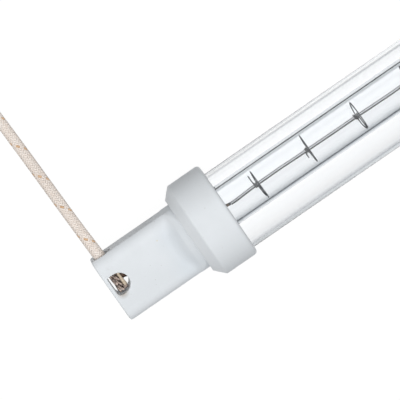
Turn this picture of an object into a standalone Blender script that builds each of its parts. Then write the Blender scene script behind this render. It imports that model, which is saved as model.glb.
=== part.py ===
# Infrared heating tube: a filament lamp inside a clear jacket, with a ceramic cap on each end.
# X runs along the lamp, Y points to the side that the lead leaves, Z is up. The origin lies on
# the surface that the two collars rest on, midway between the caps.

import math

import bmesh
import bpy
from mathutils import Vector

# Whole lamp, in metres
LAMP_LENGTH = 0.2850
SEAT_GAP = 0.0003

# Ceramic cap: collar with a chamfer, and flat tab with rolled-off edges
COLLAR_DIAMETER = 0.0332
COLLAR_WIDTH = 0.0117
COLLAR_FRONT_EDGE = 0.0013
COLLAR_BACK_EDGE = 0.0009
CHAMFER_LENGTH = 0.0031
CHAMFER_DEPTH = 0.0033
TAB_LENGTH = 0.0300
TAB_WIDTH = 0.0223
TAB_THICKNESS = 0.0106
TAB_SIDE_HEIGHT = 0.0062
TAB_EDGE_RADIUS = 0.0040
TAB_CORNER = 0.0012
TAB_END_EDGE = 0.0005

# Flare where each flat rises to the collar. It arches about a line below the lamp's axis
FLARE_AXIS_DROP = 0.0060
FLARE_BLEND = 0.0004
FOOT_SETBACK = 0.0053
FOOT_RADIUS = 0.0060
CREST_SETBACK = 0.0026
CREST_HEIGHT = 0.0092
CREST_RADIUS = 0.0030
BOSS_HEIGHT = 0.0097

# Openings of the cap
WINDOW_END_WALL = 0.00125
WINDOW_WIDTH = 0.0058
WINDOW_HEIGHT = 0.0070
WINDOW_CORNERS = (0.0015, 0.0005)
WIRE_HOLE_DIAMETER = 0.0062
WIRE_HOLE_STATION = 0.00425
PIN_HOLE_CLEARANCE = 0.0005

# Outer quartz tube
JACKET_DIAMETER = 0.0277
JACKET_WALL = 0.0012
JACKET_EDGE = 0.0004
JACKET_OFFSET = -0.0007
JACKET_SEAT_DEPTH = 0.0080

# Inner quartz tube with its flattened ends
ENVELOPE_DIAMETER = 0.0144
ENVELOPE_WALL = 0.0012
ENVELOPE_OFFSET = 0.0012
PINCH_WALL = 0.0040
PINCH_LENGTH = 0.0125
PINCH_WIDTH = 0.0160
PINCH_THICKNESS = 0.0036
SHOULDER_LENGTH = 0.0050
PINCH_SQUARENESS = 6.0

# Cement between the two quartz tubes
CEMENT_LENGTH = 0.0060

# Current path: pins, foils, splices and filament
LEAD_OUT_DIAMETER = 0.0014
LEAD_IN_DIAMETER = 0.0010
LEAD_IN_REACH = 0.00225
FOIL_LENGTH = 0.0080
FOIL_WIDTH = 0.0040
FOIL_THICKNESS = 0.0002
FOIL_SETBACK = 0.0030
SLEEVE_DIAMETER = 0.0036
SLEEVE_LENGTH = 0.0072
SLEEVE_STATION = 0.00375
SLEEVE_EDGE = 0.0002
SLEEVE_MOUTH_DIAMETER = 0.0024
SLEEVE_MOUTH_DEPTH = 0.0012
DENT_RADIUS = 0.0012
DENT_DEPTH = 0.0006
DENT_PITCH = 0.0021
FILAMENT_DIAMETER = 0.00125
FILAMENT_WALL = 0.00025

# Wire rings that hold the filament
SUPPORT_COUNT = 10
SUPPORT_START = 0.0121
SUPPORT_WIRE = 0.00035
SUPPORT_RING_DIAMETER = 0.0100
GRIP_CLEARANCE = 0.00025
GRIP_TURNS = 2.0
GRIP_PITCH = 0.00065
SPREAD_TURNS = 0.40
RING_TURNS = 0.85
SUPPORT_ROLL_STEP = 68.0
SUPPORT_LEANS = (2.0, -1.5, 6.5, -3.0, 4.0)

# Braided lead, its coil and its terminal
LEAD_DIAMETER = 0.0036
LEAD_FLOOR_HEIGHT = 0.0019
COIL_OUTER_RADIUS = 0.02185
COIL_PITCH = 0.0037
COIL_TURNS = 2
COIL_EDGE = 0.0010
TAIL_RADIUS = 0.0090
TAIL_START = 92.0
TAIL_END = 130.0
TIE_LENGTH = 0.0050
TIE_THICKNESS = 0.0003
TIE_SIDE_CLEARANCE = 0.0006
TIE_ANGLE = 200.0
TERMINAL_BARREL_DIAMETER = 0.0034
TERMINAL_BARREL_LENGTH = 0.0050
TERMINAL_BORE_DIAMETER = 0.0022
TERMINAL_BORE_DEPTH = 0.0040
TERMINAL_NECK_LENGTH = 0.0012
TERMINAL_NECK_WIDTH = 0.0034
TERMINAL_EYE_DIAMETER = 0.0074
TERMINAL_EYE_HOLE = 0.0043
TERMINAL_PLATE = 0.0008

# Facets
CAP_STEPS = 40
TAB_STEPS = 20
JACKET_STEPS = 36
ENVELOPE_STEPS = 24
ROD_STEPS = 10

# Heights, stations and radii that follow from the sizes above
AXIS_HEIGHT = COLLAR_DIAMETER / 2
LAMP_END = LAMP_LENGTH / 2
CHAMFER_END = TAB_LENGTH + CHAMFER_LENGTH
CAP_LENGTH = CHAMFER_END + COLLAR_WIDTH
JACKET_START = CAP_LENGTH - JACKET_SEAT_DEPTH
PINCH_START = WINDOW_END_WALL + WINDOW_WIDTH + PINCH_WALL
PINCH_END = PINCH_START + PINCH_LENGTH
FOIL_START = PINCH_START + FOIL_SETBACK
FOIL_END = FOIL_START + FOIL_LENGTH
LEAD_IN_END = CAP_LENGTH + LEAD_IN_REACH
FIRST_SUPPORT = CAP_LENGTH + SUPPORT_START
ENVELOPE_BORE_RADIUS = ENVELOPE_DIAMETER / 2 - ENVELOPE_WALL
CHANNEL_HEIGHT = max(LEAD_OUT_DIAMETER, LEAD_IN_DIAMETER) + 2 * SEAT_GAP
CHANNEL_WIDTH = FOIL_WIDTH + 4 * SEAT_GAP
WINDOW_ROUND_STATION = WINDOW_END_WALL + WINDOW_WIDTH - WINDOW_HEIGHT / 2
SLEEVE_REACH = SLEEVE_STATION + SLEEVE_DIAMETER / 2 - WINDOW_ROUND_STATION
SLEEVE_BASE = ENVELOPE_OFFSET - math.sqrt((WINDOW_HEIGHT / 2 - SEAT_GAP) ** 2 - SLEEVE_REACH ** 2)
COIL_BASE = TIE_THICKNESS + SEAT_GAP
COIL_INNER_RADIUS = COIL_OUTER_RADIUS - COIL_TURNS * COIL_PITCH


def clear_scene():
    for item in list(bpy.data.objects):
        bpy.data.objects.remove(item, do_unlink=True)


def collection_named(name):
    group = bpy.data.collections.new(name)
    bpy.context.scene.collection.children.link(group)
    return group


def surface_named(name, colour, roughness, metallic=0.0, transmission=0.0):
    surface = bpy.data.materials.new(name)
    surface.use_nodes = True
    surface.diffuse_color = (*colour, 1.0)
    shader = surface.node_tree.nodes["Principled BSDF"]
    shader.inputs["Base Color"].default_value = (*colour, 1.0)
    shader.inputs["Roughness"].default_value = roughness
    shader.inputs["Metallic"].default_value = metallic
    shader.inputs["Transmission Weight"].default_value = transmission
    return surface


def place(item, group, surface=None):
    group.objects.link(item)
    if surface:
        item.data.materials.append(surface)
    else:
        item.hide_render = True
        item.display_type = "WIRE"
    return item


def along_lamp(item, side, across):
    # The item's own Z then runs inwards from the outer end of the near (1) or far (-1) cap
    item.rotation_euler = (0.0, side * math.pi / 2, 0.0)
    item.location = (-side * LAMP_END, across, AXIS_HEIGHT)
    return item


def across_lamp(item, station, side, base):
    # The item's own Z then points to the side that the lead leaves
    item.rotation_euler = (-math.pi / 2, 0.0, 0.0)
    item.location = (side * (station - LAMP_END), base, AXIS_HEIGHT)
    return item


def polar(centre, radius, angle):
    return Vector((centre[0] + radius * math.cos(angle), centre[1] + radius * math.sin(angle)))


def arc(centre, radius, start, end, steps):
    return [polar(centre, radius, start + (end - start) * step / steps) for step in range(steps + 1)]


def rounded(corners, steps):
    # Each corner is (x, y, radius). A fillet that its two sides can't hold is made smaller
    count = len(corners)
    points = [Vector(corner[:2]) for corner in corners]
    arms = []
    for index, here in enumerate(points):
        before = (points[index - 1] - here).normalized()
        after = (points[(index + 1) % count] - here).normalized()
        arms.append((before, after, before.angle(after) / 2))
    setbacks = [corner[2] / math.tan(arm[2]) for corner, arm in zip(corners, arms)]
    shares = [1.0] * count
    for index in range(count):
        following = (index + 1) % count
        room = (points[following] - points[index]).length
        wanted = setbacks[index] + setbacks[following]
        if wanted > room:
            shares[index] = min(shares[index], room / wanted)
            shares[following] = min(shares[following], room / wanted)
    outline = []
    for index, here in enumerate(points):
        before, after, half = arms[index]
        setback = setbacks[index] * shares[index]
        if setback == 0.0:
            outline.append(here)
            continue
        radius = setback * math.tan(half)
        centre = here + (before + after).normalized() * radius / math.sin(half)
        first = here + before * setback - centre
        last = here + after * setback - centre
        start = math.atan2(first.y, first.x)
        turn = math.remainder(math.atan2(last.y, last.x) - start, 2 * math.pi)
        outline.extend(arc(centre, radius, start, start + turn, steps))
    return outline


def turned(name, profile, group, surface, steps, closed=False):
    # The profile holds (radius, height) and runs down the outer side
    edges = [(index, index + 1) for index in range(len(profile) - 1)]
    if closed:
        edges.append((len(profile) - 1, 0))
    mesh = bpy.data.meshes.new(name)
    mesh.from_pydata([(radius, 0.0, height) for radius, height in profile], edges, [])
    item = place(bpy.data.objects.new(name, mesh), group, surface)
    screw = item.modifiers.new("turn", "SCREW")
    screw.axis = "Z"
    screw.steps = steps
    screw.render_steps = steps
    screw.use_merge_vertices = True
    screw.merge_threshold = 0.00001
    screw.use_smooth_shade = True
    return item


def rod(name, radius, low, high, group, surface, steps):
    return turned(name, [(0.0, high), (radius, high), (radius, low), (0.0, low)], group, surface, steps)


def slab(name, outline, thickness, group, surface=None, holes=()):
    # A flat outline extruded half its thickness each way, made a mesh so that it can be cut
    curve = bpy.data.curves.new(name, "CURVE")
    curve.dimensions = "2D"
    curve.fill_mode = "BOTH"
    curve.extrude = thickness / 2
    for ring in (outline, *holes):
        spline = curve.splines.new("POLY")
        spline.points.add(len(ring) - 1)
        spline.use_cyclic_u = True
        for point, place_at in zip(spline.points, ring):
            point.co = (place_at[0], place_at[1], 0.0, 1.0)
    return as_mesh(name, curve, group, surface)


def as_mesh(name, curve, group, surface):
    guide = bpy.data.objects.new(name + "_outline", curve)
    bpy.context.scene.collection.objects.link(guide)
    settled = guide.evaluated_get(bpy.context.evaluated_depsgraph_get())
    mesh = bpy.data.meshes.new_from_object(settled)
    bpy.data.objects.remove(guide, do_unlink=True)
    shape = bmesh.new()
    shape.from_mesh(mesh)
    bmesh.ops.remove_doubles(shape, verts=shape.verts, dist=0.00001)
    bmesh.ops.recalc_face_normals(shape, faces=shape.faces)
    shape.to_mesh(mesh)
    shape.free()
    return place(bpy.data.objects.new(name, mesh), group, surface)


def wire(name, points, diameter, group, surface, resolution):
    curve = bpy.data.curves.new(name, "CURVE")
    curve.dimensions = "3D"
    curve.bevel_depth = diameter / 2
    curve.bevel_resolution = resolution
    curve.use_fill_caps = True
    spline = curve.splines.new("POLY")
    spline.points.add(len(points) - 1)
    for point, place_at in zip(spline.points, points):
        point.co = (*place_at, 1.0)
    return place(bpy.data.objects.new(name, curve), group, surface)


def ball(name, radius, centre, group):
    mesh = bpy.data.meshes.new(name)
    shape = bmesh.new()
    bmesh.ops.create_uvsphere(shape, u_segments=10, v_segments=6, radius=radius)
    shape.to_mesh(mesh)
    shape.free()
    item = place(bpy.data.objects.new(name, mesh), group)
    item.location = centre
    return item


def box(name, size, group, surface=None):
    mesh = bpy.data.meshes.new(name)
    shape = bmesh.new()
    bmesh.ops.create_cube(shape, size=1.0)
    bmesh.ops.scale(shape, vec=size, verts=shape.verts)
    shape.to_mesh(mesh)
    shape.free()
    return place(bpy.data.objects.new(name, mesh), group, surface)


def combine(item, operation, other):
    step = item.modifiers.new(other.name, "BOOLEAN")
    step.operation = operation
    step.solver = "EXACT"
    step.object = other


def loft(name, rings, group, surface=None, closed=False):
    # Joins unlike sections in order: a closed loft is a tube with a bore, an open one is capped
    mesh = bpy.data.meshes.new(name)
    shape = bmesh.new()
    loops = [[shape.verts.new(point) for point in ring] for ring in rings]
    joints = list(zip(loops, loops[1:]))
    if closed:
        joints.append((loops[-1], loops[0]))
    else:
        shape.faces.new(loops[0])
        shape.faces.new(loops[-1])
    for first, second in joints:
        for index in range(len(first)):
            after = (index + 1) % len(first)
            shape.faces.new((first[index], first[after], second[after], second[index]))
    bmesh.ops.recalc_face_normals(shape, faces=shape.faces)
    shape.to_mesh(mesh)
    shape.free()
    mesh.shade_smooth()
    mesh.set_sharp_from_angle(angle=math.radians(40.0))
    return place(bpy.data.objects.new(name, mesh), group, surface)


def collar_profile():
    # Collar and chamfer as one turned outline, from the tube face to the shoulder
    collar = COLLAR_DIAMETER / 2
    corners = [
        (0.0, CAP_LENGTH, 0.0),
        (collar, CAP_LENGTH, COLLAR_FRONT_EDGE),
        (collar, CHAMFER_END, COLLAR_BACK_EDGE),
        (collar - CHAMFER_DEPTH, TAB_LENGTH, 0.0),
        (0.0, TAB_LENGTH, 0.0),
    ]
    return rounded(corners, 3)


def flare_profile():
    # The flare's height above the axis at each station, from under the flat to inside the collar
    foot = TAB_THICKNESS / 2 - FLARE_BLEND
    corners = [
        (TAB_LENGTH - FOOT_SETBACK - FOOT_RADIUS, foot, 0.0),
        (TAB_LENGTH - FOOT_SETBACK, foot, FOOT_RADIUS),
        (TAB_LENGTH - CREST_SETBACK, CREST_HEIGHT, CREST_RADIUS),
        (TAB_LENGTH - SEAT_GAP, BOSS_HEIGHT, 0.0),
        (TAB_LENGTH + CHAMFER_LENGTH / 2, BOSS_HEIGHT, 0.0),
    ]
    return rounded(corners, 4)


def end_rounding(radius, station):
    # How far an edge of this radius has drawn in at a distance from the cap's end
    short = max(radius - station, 0.0)
    return radius - math.sqrt(radius ** 2 - short ** 2)


def tab_height(across):
    # Half the tab's thickness: level in the middle, rolling off to each upright side
    drop = TAB_THICKNESS / 2 - TAB_EDGE_RADIUS
    level = TAB_WIDTH / 2 - math.sqrt(TAB_EDGE_RADIUS ** 2 - (TAB_SIDE_HEIGHT / 2 - drop) ** 2)
    beyond = max(abs(across) - level, 0.0)
    return drop + math.sqrt(TAB_EDGE_RADIUS ** 2 - beyond ** 2)


def flared_height(across, crown):
    # The tab's own height, softly joined to an arch of this crown that stays inside a round bar
    plain = tab_height(across)
    bar = math.hypot(TAB_WIDTH, TAB_SIDE_HEIGHT) / 2
    arch = math.sqrt(max((crown + FLARE_AXIS_DROP) ** 2 - across ** 2, 0.0)) - FLARE_AXIS_DROP
    arch = min(arch, math.sqrt(max(bar ** 2 - across ** 2, 0.0)))
    overlap = max(FLARE_BLEND - abs(arch - plain), 0.0)
    return max(arch, plain) + overlap ** 2 / (4 * FLARE_BLEND)


def tab_ring(station, side, crown):
    # One section of the tab. A crown of zero is a section without the flare
    half = TAB_WIDTH / 2
    squeeze = 1.0 - end_rounding(TAB_CORNER, station) / half
    upper = []
    for step in range(TAB_STEPS + 1):
        across = -half * math.cos(math.pi * step / TAB_STEPS)
        height = flared_height(across, crown) if crown else tab_height(across)
        upper.append((across * squeeze, height - end_rounding(TAB_END_EDGE, station)))
    lower = [(across, -height) for across, height in reversed(upper)]
    return [(side * (station - LAMP_END), across, AXIS_HEIGHT + up) for across, up in upper + lower]


def tab_rings(side):
    end = arc((TAB_CORNER, 0.0), TAB_CORNER, math.pi, math.pi / 2, 4)
    rings = [tab_ring(point.x, side, 0.0) for point in end]
    return rings + [tab_ring(station, side, crown) for station, crown in flare_profile()]


def window_outline(side):
    # Straight on the side of the cap's end, half round towards the collar
    half = WINDOW_HEIGHT / 2
    corners = [
        (0.0, -half, WINDOW_CORNERS[0]),
        (side * WINDOW_WIDTH, -half, half),
        (side * WINDOW_WIDTH, half, half),
        (0.0, half, WINDOW_CORNERS[1]),
    ]
    return rounded(corners, 6)


def envelope_ring(station, side, margin, bore):
    # One section of the inner quartz: round along the tube, pressed flat at the seal
    share = min(max((station - PINCH_END) / SHOULDER_LENGTH, 0.0), 1.0)
    share = share * share * (3.0 - 2.0 * share)
    flat = (CHANNEL_WIDTH, CHANNEL_HEIGHT) if bore else (PINCH_WIDTH, PINCH_THICKNESS)
    round_radius = ENVELOPE_BORE_RADIUS if bore else ENVELOPE_DIAMETER / 2
    half_width = flat[0] / 2 * (1.0 - share) + round_radius * share + margin
    half_height = flat[1] / 2 * (1.0 - share) + round_radius * share + margin
    power = 2.0 / (PINCH_SQUARENESS * (1.0 - share) + 2.0 * share)
    ring = []
    for step in range(ENVELOPE_STEPS):
        angle = 2 * math.pi * (step + 0.5) / ENVELOPE_STEPS
        across = math.copysign(abs(math.cos(angle)) ** power, math.cos(angle))
        up = math.copysign(abs(math.sin(angle)) ** power, math.sin(angle))
        ring.append((
            side * (station - LAMP_END),
            ENVELOPE_OFFSET + half_width * across,
            AXIS_HEIGHT + half_height * up,
        ))
    return ring


def envelope_stations():
    shoulder = [PINCH_END + SHOULDER_LENGTH * step / 4 for step in range(5)]
    return [PINCH_START] + shoulder


def build_cap(name, side, parts, cutters, surface):
    cap = along_lamp(turned(name, collar_profile(), parts, surface, CAP_STEPS), side, 0.0)
    combine(cap, "UNION", loft(name + "_tab", tab_rings(side), cutters))

    seat = rod(name + "_jacket_seat", JACKET_DIAMETER / 2 + SEAT_GAP, JACKET_START - SEAT_GAP,
               CAP_LENGTH + COLLAR_WIDTH, cutters, None, JACKET_STEPS)
    combine(cap, "DIFFERENCE", along_lamp(seat, side, JACKET_OFFSET))

    stations = [PINCH_START - SEAT_GAP] + envelope_stations()[1:] + [CAP_LENGTH + COLLAR_WIDTH]
    socket_rings = [envelope_ring(station, side, SEAT_GAP, False) for station in stations]
    combine(cap, "DIFFERENCE", loft(name + "_envelope_socket", socket_rings, cutters))

    window = slab(name + "_window", window_outline(side), 2 * TAB_THICKNESS, cutters)
    window.location = (side * (WINDOW_END_WALL - LAMP_END), ENVELOPE_OFFSET, AXIS_HEIGHT)
    combine(cap, "DIFFERENCE", window)

    wire_hole = rod(name + "_wire_hole", WIRE_HOLE_DIAMETER / 2, 0.0, TAB_WIDTH, cutters, None, 20)
    combine(cap, "DIFFERENCE", across_lamp(wire_hole, WIRE_HOLE_STATION, side, ENVELOPE_OFFSET))

    pin_hole = rod(name + "_pin_hole", LEAD_OUT_DIAMETER / 2 + PIN_HOLE_CLEARANCE,
                   WINDOW_END_WALL + WINDOW_WIDTH / 2, PINCH_START + SEAT_GAP, cutters, None, ROD_STEPS)
    combine(cap, "DIFFERENCE", along_lamp(pin_hole, side, ENVELOPE_OFFSET))
    return cap


def build_jacket(parts, surface):
    outer = JACKET_DIAMETER / 2
    inner = outer - JACKET_WALL
    far = LAMP_LENGTH - JACKET_START
    corners = [
        (outer, far, JACKET_EDGE),
        (outer, JACKET_START, JACKET_EDGE),
        (inner, JACKET_START, JACKET_EDGE),
        (inner, far, JACKET_EDGE),
    ]
    tube = turned("quartz_jacket", rounded(corners, 2), parts, surface, JACKET_STEPS, closed=True)
    return along_lamp(tube, 1, JACKET_OFFSET)


def build_envelope(parts, surface):
    rings = []
    for bore in (False, True):
        near = [envelope_ring(station, 1, 0.0, bore) for station in envelope_stations()]
        far = [envelope_ring(station, -1, 0.0, bore) for station in reversed(envelope_stations())]
        rings.append(near + far)
    return loft("quartz_envelope", rings[0] + rings[1][::-1], parts, surface, closed=True)


def build_cement(name, side, parts, cutters, surface):
    radius = JACKET_DIAMETER / 2 - JACKET_WALL - SEAT_GAP
    plug = rod(name, radius, JACKET_START, JACKET_START + CEMENT_LENGTH, parts, surface, JACKET_STEPS)
    hole = rod(name + "_hole", ENVELOPE_DIAMETER / 2 + SEAT_GAP, JACKET_START - CEMENT_LENGTH,
               JACKET_START + 2 * CEMENT_LENGTH, cutters, None, ENVELOPE_STEPS)
    combine(along_lamp(plug, side, JACKET_OFFSET), "DIFFERENCE", along_lamp(hole, side, ENVELOPE_OFFSET))


def build_current_path(suffix, side, parts, cutters, metals):
    # From outside in: splice, outer pin, foil in the seal, inner pin that carries the filament
    sleeve = turned("crimp_sleeve_" + suffix, rounded([
        (0.0, SLEEVE_LENGTH, 0.0),
        (SLEEVE_DIAMETER / 2, SLEEVE_LENGTH, SLEEVE_EDGE),
        (SLEEVE_DIAMETER / 2, 0.0, SLEEVE_EDGE),
        (SLEEVE_MOUTH_DIAMETER / 2, 0.0, 0.0),
        (SLEEVE_MOUTH_DIAMETER / 2, SLEEVE_MOUTH_DEPTH, 0.0),
        (0.0, SLEEVE_MOUTH_DEPTH, 0.0),
    ], 1), parts, metals["splice"], 14)
    across_lamp(sleeve, SLEEVE_STATION, side, SLEEVE_BASE)
    middle = SLEEVE_BASE + SLEEVE_LENGTH / 2
    reach = SLEEVE_DIAMETER / 2 + DENT_RADIUS - DENT_DEPTH
    for index, (shift, up) in enumerate(((-0.5, 1), (0.5, 1), (0.0, -1))):
        centre = (side * (SLEEVE_STATION - LAMP_END), middle + shift * DENT_PITCH, AXIS_HEIGHT + up * reach)
        dent = ball("crimp_sleeve_%s_dent_%d" % (suffix, index + 1), DENT_RADIUS, centre, cutters)
        combine(sleeve, "DIFFERENCE", dent)

    pin_start = SLEEVE_STATION + SLEEVE_DIAMETER / 2 + SEAT_GAP
    pin = rod("lead_out_" + suffix, LEAD_OUT_DIAMETER / 2, pin_start, FOIL_START - SEAT_GAP,
              parts, metals["pin"], ROD_STEPS)
    along_lamp(pin, side, ENVELOPE_OFFSET)
    foil = box("molybdenum_foil_" + suffix, (FOIL_LENGTH, FOIL_WIDTH, FOIL_THICKNESS), parts, metals["foil"])
    foil.location = (side * (FOIL_START + FOIL_LENGTH / 2 - LAMP_END), ENVELOPE_OFFSET, AXIS_HEIGHT)
    stub = rod("lead_in_" + suffix, LEAD_IN_DIAMETER / 2, FOIL_END + SEAT_GAP, LEAD_IN_END,
               parts, metals["stub"], ROD_STEPS)
    along_lamp(stub, side, ENVELOPE_OFFSET)


def build_filament(parts, surface):
    # The wound wire as the thin-walled tube that its close turns fill
    outer = FILAMENT_DIAMETER / 2
    inner = outer - FILAMENT_WALL
    low = LEAD_IN_END + SEAT_GAP
    high = LAMP_LENGTH - low
    profile = [(outer, high), (outer, low), (inner, low), (inner, high)]
    tube = turned("filament", profile, parts, surface, ROD_STEPS, closed=True)
    return along_lamp(tube, 1, ENVELOPE_OFFSET)


def support_points(roll, lean):
    # The wire grips the filament, spreads out and closes into a ring that lies on the quartz
    grip = FILAMENT_DIAMETER / 2 + GRIP_CLEARANCE + SUPPORT_WIRE / 2
    ring = SUPPORT_RING_DIAMETER / 2
    drop = ENVELOPE_BORE_RADIUS - SEAT_GAP - SUPPORT_WIRE / 2 - ring
    stretches = [(GRIP_TURNS, 14), (SPREAD_TURNS, 6), (RING_TURNS, 14)]
    turns = [0.0]
    for length, steps in stretches:
        turns += [turns[-1] + length * (step + 1) / steps for step in range(steps)]
    points = []
    for turn in turns:
        spread = min(max((turn - GRIP_TURNS) / SPREAD_TURNS, 0.0), 1.0)
        spread = spread * spread * (3.0 - 2.0 * spread)
        radius = grip + (ring - grip) * spread
        angle = math.radians(roll) + 2 * math.pi * turn
        across = radius * math.cos(angle)
        up = radius * math.sin(angle) - drop * spread
        along = (min(turn, GRIP_TURNS) - GRIP_TURNS) * GRIP_PITCH
        along += math.tan(math.radians(lean)) * across * spread
        points.append(Vector((along, across, up)))
    return points


def build_supports(parts, surface):
    pitch = (LAMP_LENGTH - 2 * FIRST_SUPPORT) / (SUPPORT_COUNT - 1)
    for index in range(SUPPORT_COUNT):
        lean = SUPPORT_LEANS[index % len(SUPPORT_LEANS)]
        points = support_points(index * SUPPORT_ROLL_STEP, lean)
        name = "filament_support_%02d" % (index + 1)
        support = wire(name, points, SUPPORT_WIRE, parts, surface, 1)
        support.location = (FIRST_SUPPORT + index * pitch - LAMP_END, ENVELOPE_OFFSET, AXIS_HEIGHT)


def lead_route():
    # Straight out of the tab's side, then down to the surface and along it, to the coil
    start = -LAMP_END
    floor = LEAD_FLOOR_HEIGHT
    return [Vector(point) for point in (
        (start + SLEEVE_STATION, SLEEVE_BASE + SLEEVE_LENGTH + SEAT_GAP, AXIS_HEIGHT),
        (start + 0.00350, 0.0085, AXIS_HEIGHT),
        (start + 0.00330, 0.0110, AXIS_HEIGHT),
        (start + 0.00310, 0.0160, 0.0165),
        (start + 0.00290, 0.0220, 0.0159),
        (start + 0.00270, 0.0280, 0.0143),
        (start + 0.00250, 0.0340, 0.0117),
        (start + 0.00230, 0.0400, 0.0088),
        (start + 0.00210, 0.0460, 0.0061),
        (start + 0.00190, 0.0520, 0.0040),
        (start + 0.00170, 0.0580, 0.0026),
        (start + 0.00150, 0.0640, floor),
        (start + 0.00135, 0.0685, floor),
        (start + 0.00120, 0.0730, floor),
        (start + 0.00105, 0.0775, floor),
        (start + 0.00090, 0.0820, floor),
    )]


def smooth_curve(points, steps):
    # Points on a curve that passes through each given point
    curve = []
    last = len(points) - 1
    for index in range(last):
        before = points[max(index - 1, 0)]
        here = points[index]
        after = points[index + 1]
        beyond = points[min(index + 2, last)]
        for step in range(steps):
            share = step / steps
            curve.append(0.5 * (
                2 * here
                + (after - before) * share
                + (2 * before - 5 * here + 4 * after - beyond) * share ** 2
                + (3 * here - before - 3 * after + beyond) * share ** 3
            ))
    curve.append(points[last])
    return curve


def coil_centre():
    before, end = lead_route()[-2:]
    heading = (end - before).normalized()
    inward = Vector((-heading.y, heading.x, 0.0))
    return end + inward * COIL_OUTER_RADIUS, math.atan2(-inward.y, -inward.x)


def build_lead(parts, cutters, surfaces):
    centre, start_angle = coil_centre()
    outer = COIL_OUTER_RADIUS + LEAD_DIAMETER / 2
    clear = outer + SEAT_GAP
    stretch = []
    for point in smooth_curve(lead_route(), 8):
        across = Vector((COIL_OUTER_RADIUS - LEAD_DIAMETER / 2, point.y - centre.y))
        if across.length < clear:
            break
        stretch.append(point)
    wire("lead", stretch[:-1:4] + stretch[-1:], LEAD_DIAMETER, parts, surfaces["braid"], 2)

    inner = COIL_INNER_RADIUS - LEAD_DIAMETER / 2
    top = COIL_BASE + LEAD_DIAMETER
    corners = [
        (outer, top, COIL_EDGE), (outer, COIL_BASE, COIL_EDGE),
        (inner, COIL_BASE, COIL_EDGE), (inner, top, COIL_EDGE),
    ]
    coil = turned("lead_coil", rounded(corners, 1), parts, surfaces["braid"], 36, closed=True)
    coil.location = (centre.x, centre.y, 0.0)

    hub = polar(centre, COIL_INNER_RADIUS - TAIL_RADIUS, start_angle)
    sweep = [start_angle + math.radians(angle) for angle in (TAIL_START, (TAIL_START + TAIL_END) / 2, TAIL_END)]
    tail = [polar(hub, TAIL_RADIUS, angle).to_3d() + Vector((0.0, 0.0, LEAD_FLOOR_HEIGHT)) for angle in sweep]
    wire("lead_tail", tail, LEAD_DIAMETER, parts, surfaces["braid"], 2)
    build_tie(centre, inner, outer, parts, cutters, surfaces["tie"])
    build_terminal(tail[-1], sweep[-1] + math.pi / 2, parts, cutters, surfaces["terminal"])


def build_tie(centre, inner, outer, parts, cutters, surface):
    # A flat strap once round the turns
    width = outer - inner + 2 * TIE_SIDE_CLEARANCE
    height = LEAD_DIAMETER + 2 * SEAT_GAP
    angle = math.radians(TIE_ANGLE)
    middle = polar(centre, (outer + inner) / 2, angle).to_3d()
    middle.z = height / 2 + TIE_THICKNESS
    walls = 2 * TIE_THICKNESS
    tie = box("coil_tie", (width + walls, TIE_LENGTH, height + walls), parts, surface)
    gap = box("coil_tie_gap", (width, 3 * TIE_LENGTH, height), cutters)
    for item in (tie, gap):
        item.location = middle
        item.rotation_euler = (0.0, 0.0, angle)
    combine(tie, "DIFFERENCE", gap)


def build_terminal(end, heading, parts, cutters, surface):
    # A crimped barrel with a flat eye, seen along its own X
    seat = bpy.data.objects.new("terminal_seat", None)
    cutters.objects.link(seat)
    seat.location = end
    seat.rotation_euler = (0.0, 0.0, heading)
    barrel = turned("ring_terminal", [
        (0.0, TERMINAL_BARREL_LENGTH),
        (TERMINAL_BARREL_DIAMETER / 2, TERMINAL_BARREL_LENGTH),
        (TERMINAL_BARREL_DIAMETER / 2, 0.0),
        (TERMINAL_BORE_DIAMETER / 2, 0.0),
        (TERMINAL_BORE_DIAMETER / 2, TERMINAL_BORE_DEPTH),
        (0.0, TERMINAL_BORE_DEPTH),
    ], parts, surface, 14)
    barrel.parent = seat
    barrel.location = (SEAT_GAP, 0.0, 0.0)
    barrel.rotation_euler = (0.0, math.pi / 2, 0.0)

    eye = TERMINAL_EYE_DIAMETER / 2
    neck = TERMINAL_NECK_WIDTH / 2
    eye_station = SEAT_GAP + TERMINAL_BARREL_LENGTH + TERMINAL_NECK_LENGTH + eye
    root = SEAT_GAP + (TERMINAL_BARREL_LENGTH + TERMINAL_BORE_DEPTH) / 2
    opening = math.pi - math.asin(neck / eye)
    outline = [Vector((root, -neck))] + arc((eye_station, 0.0), eye, -opening, opening, 20)
    outline.append(Vector((root, neck)))
    hole = arc((eye_station, 0.0), TERMINAL_EYE_HOLE / 2, 0.0, 2 * math.pi, 16)[:-1]
    plate = slab("ring_terminal_plate", outline, TERMINAL_PLATE, cutters, None, (hole,))
    plate.parent = seat
    plate.location = (0.0, 0.0, TERMINAL_PLATE / 2 - TERMINAL_BARREL_DIAMETER / 2)
    combine(barrel, "UNION", plate)


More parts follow.
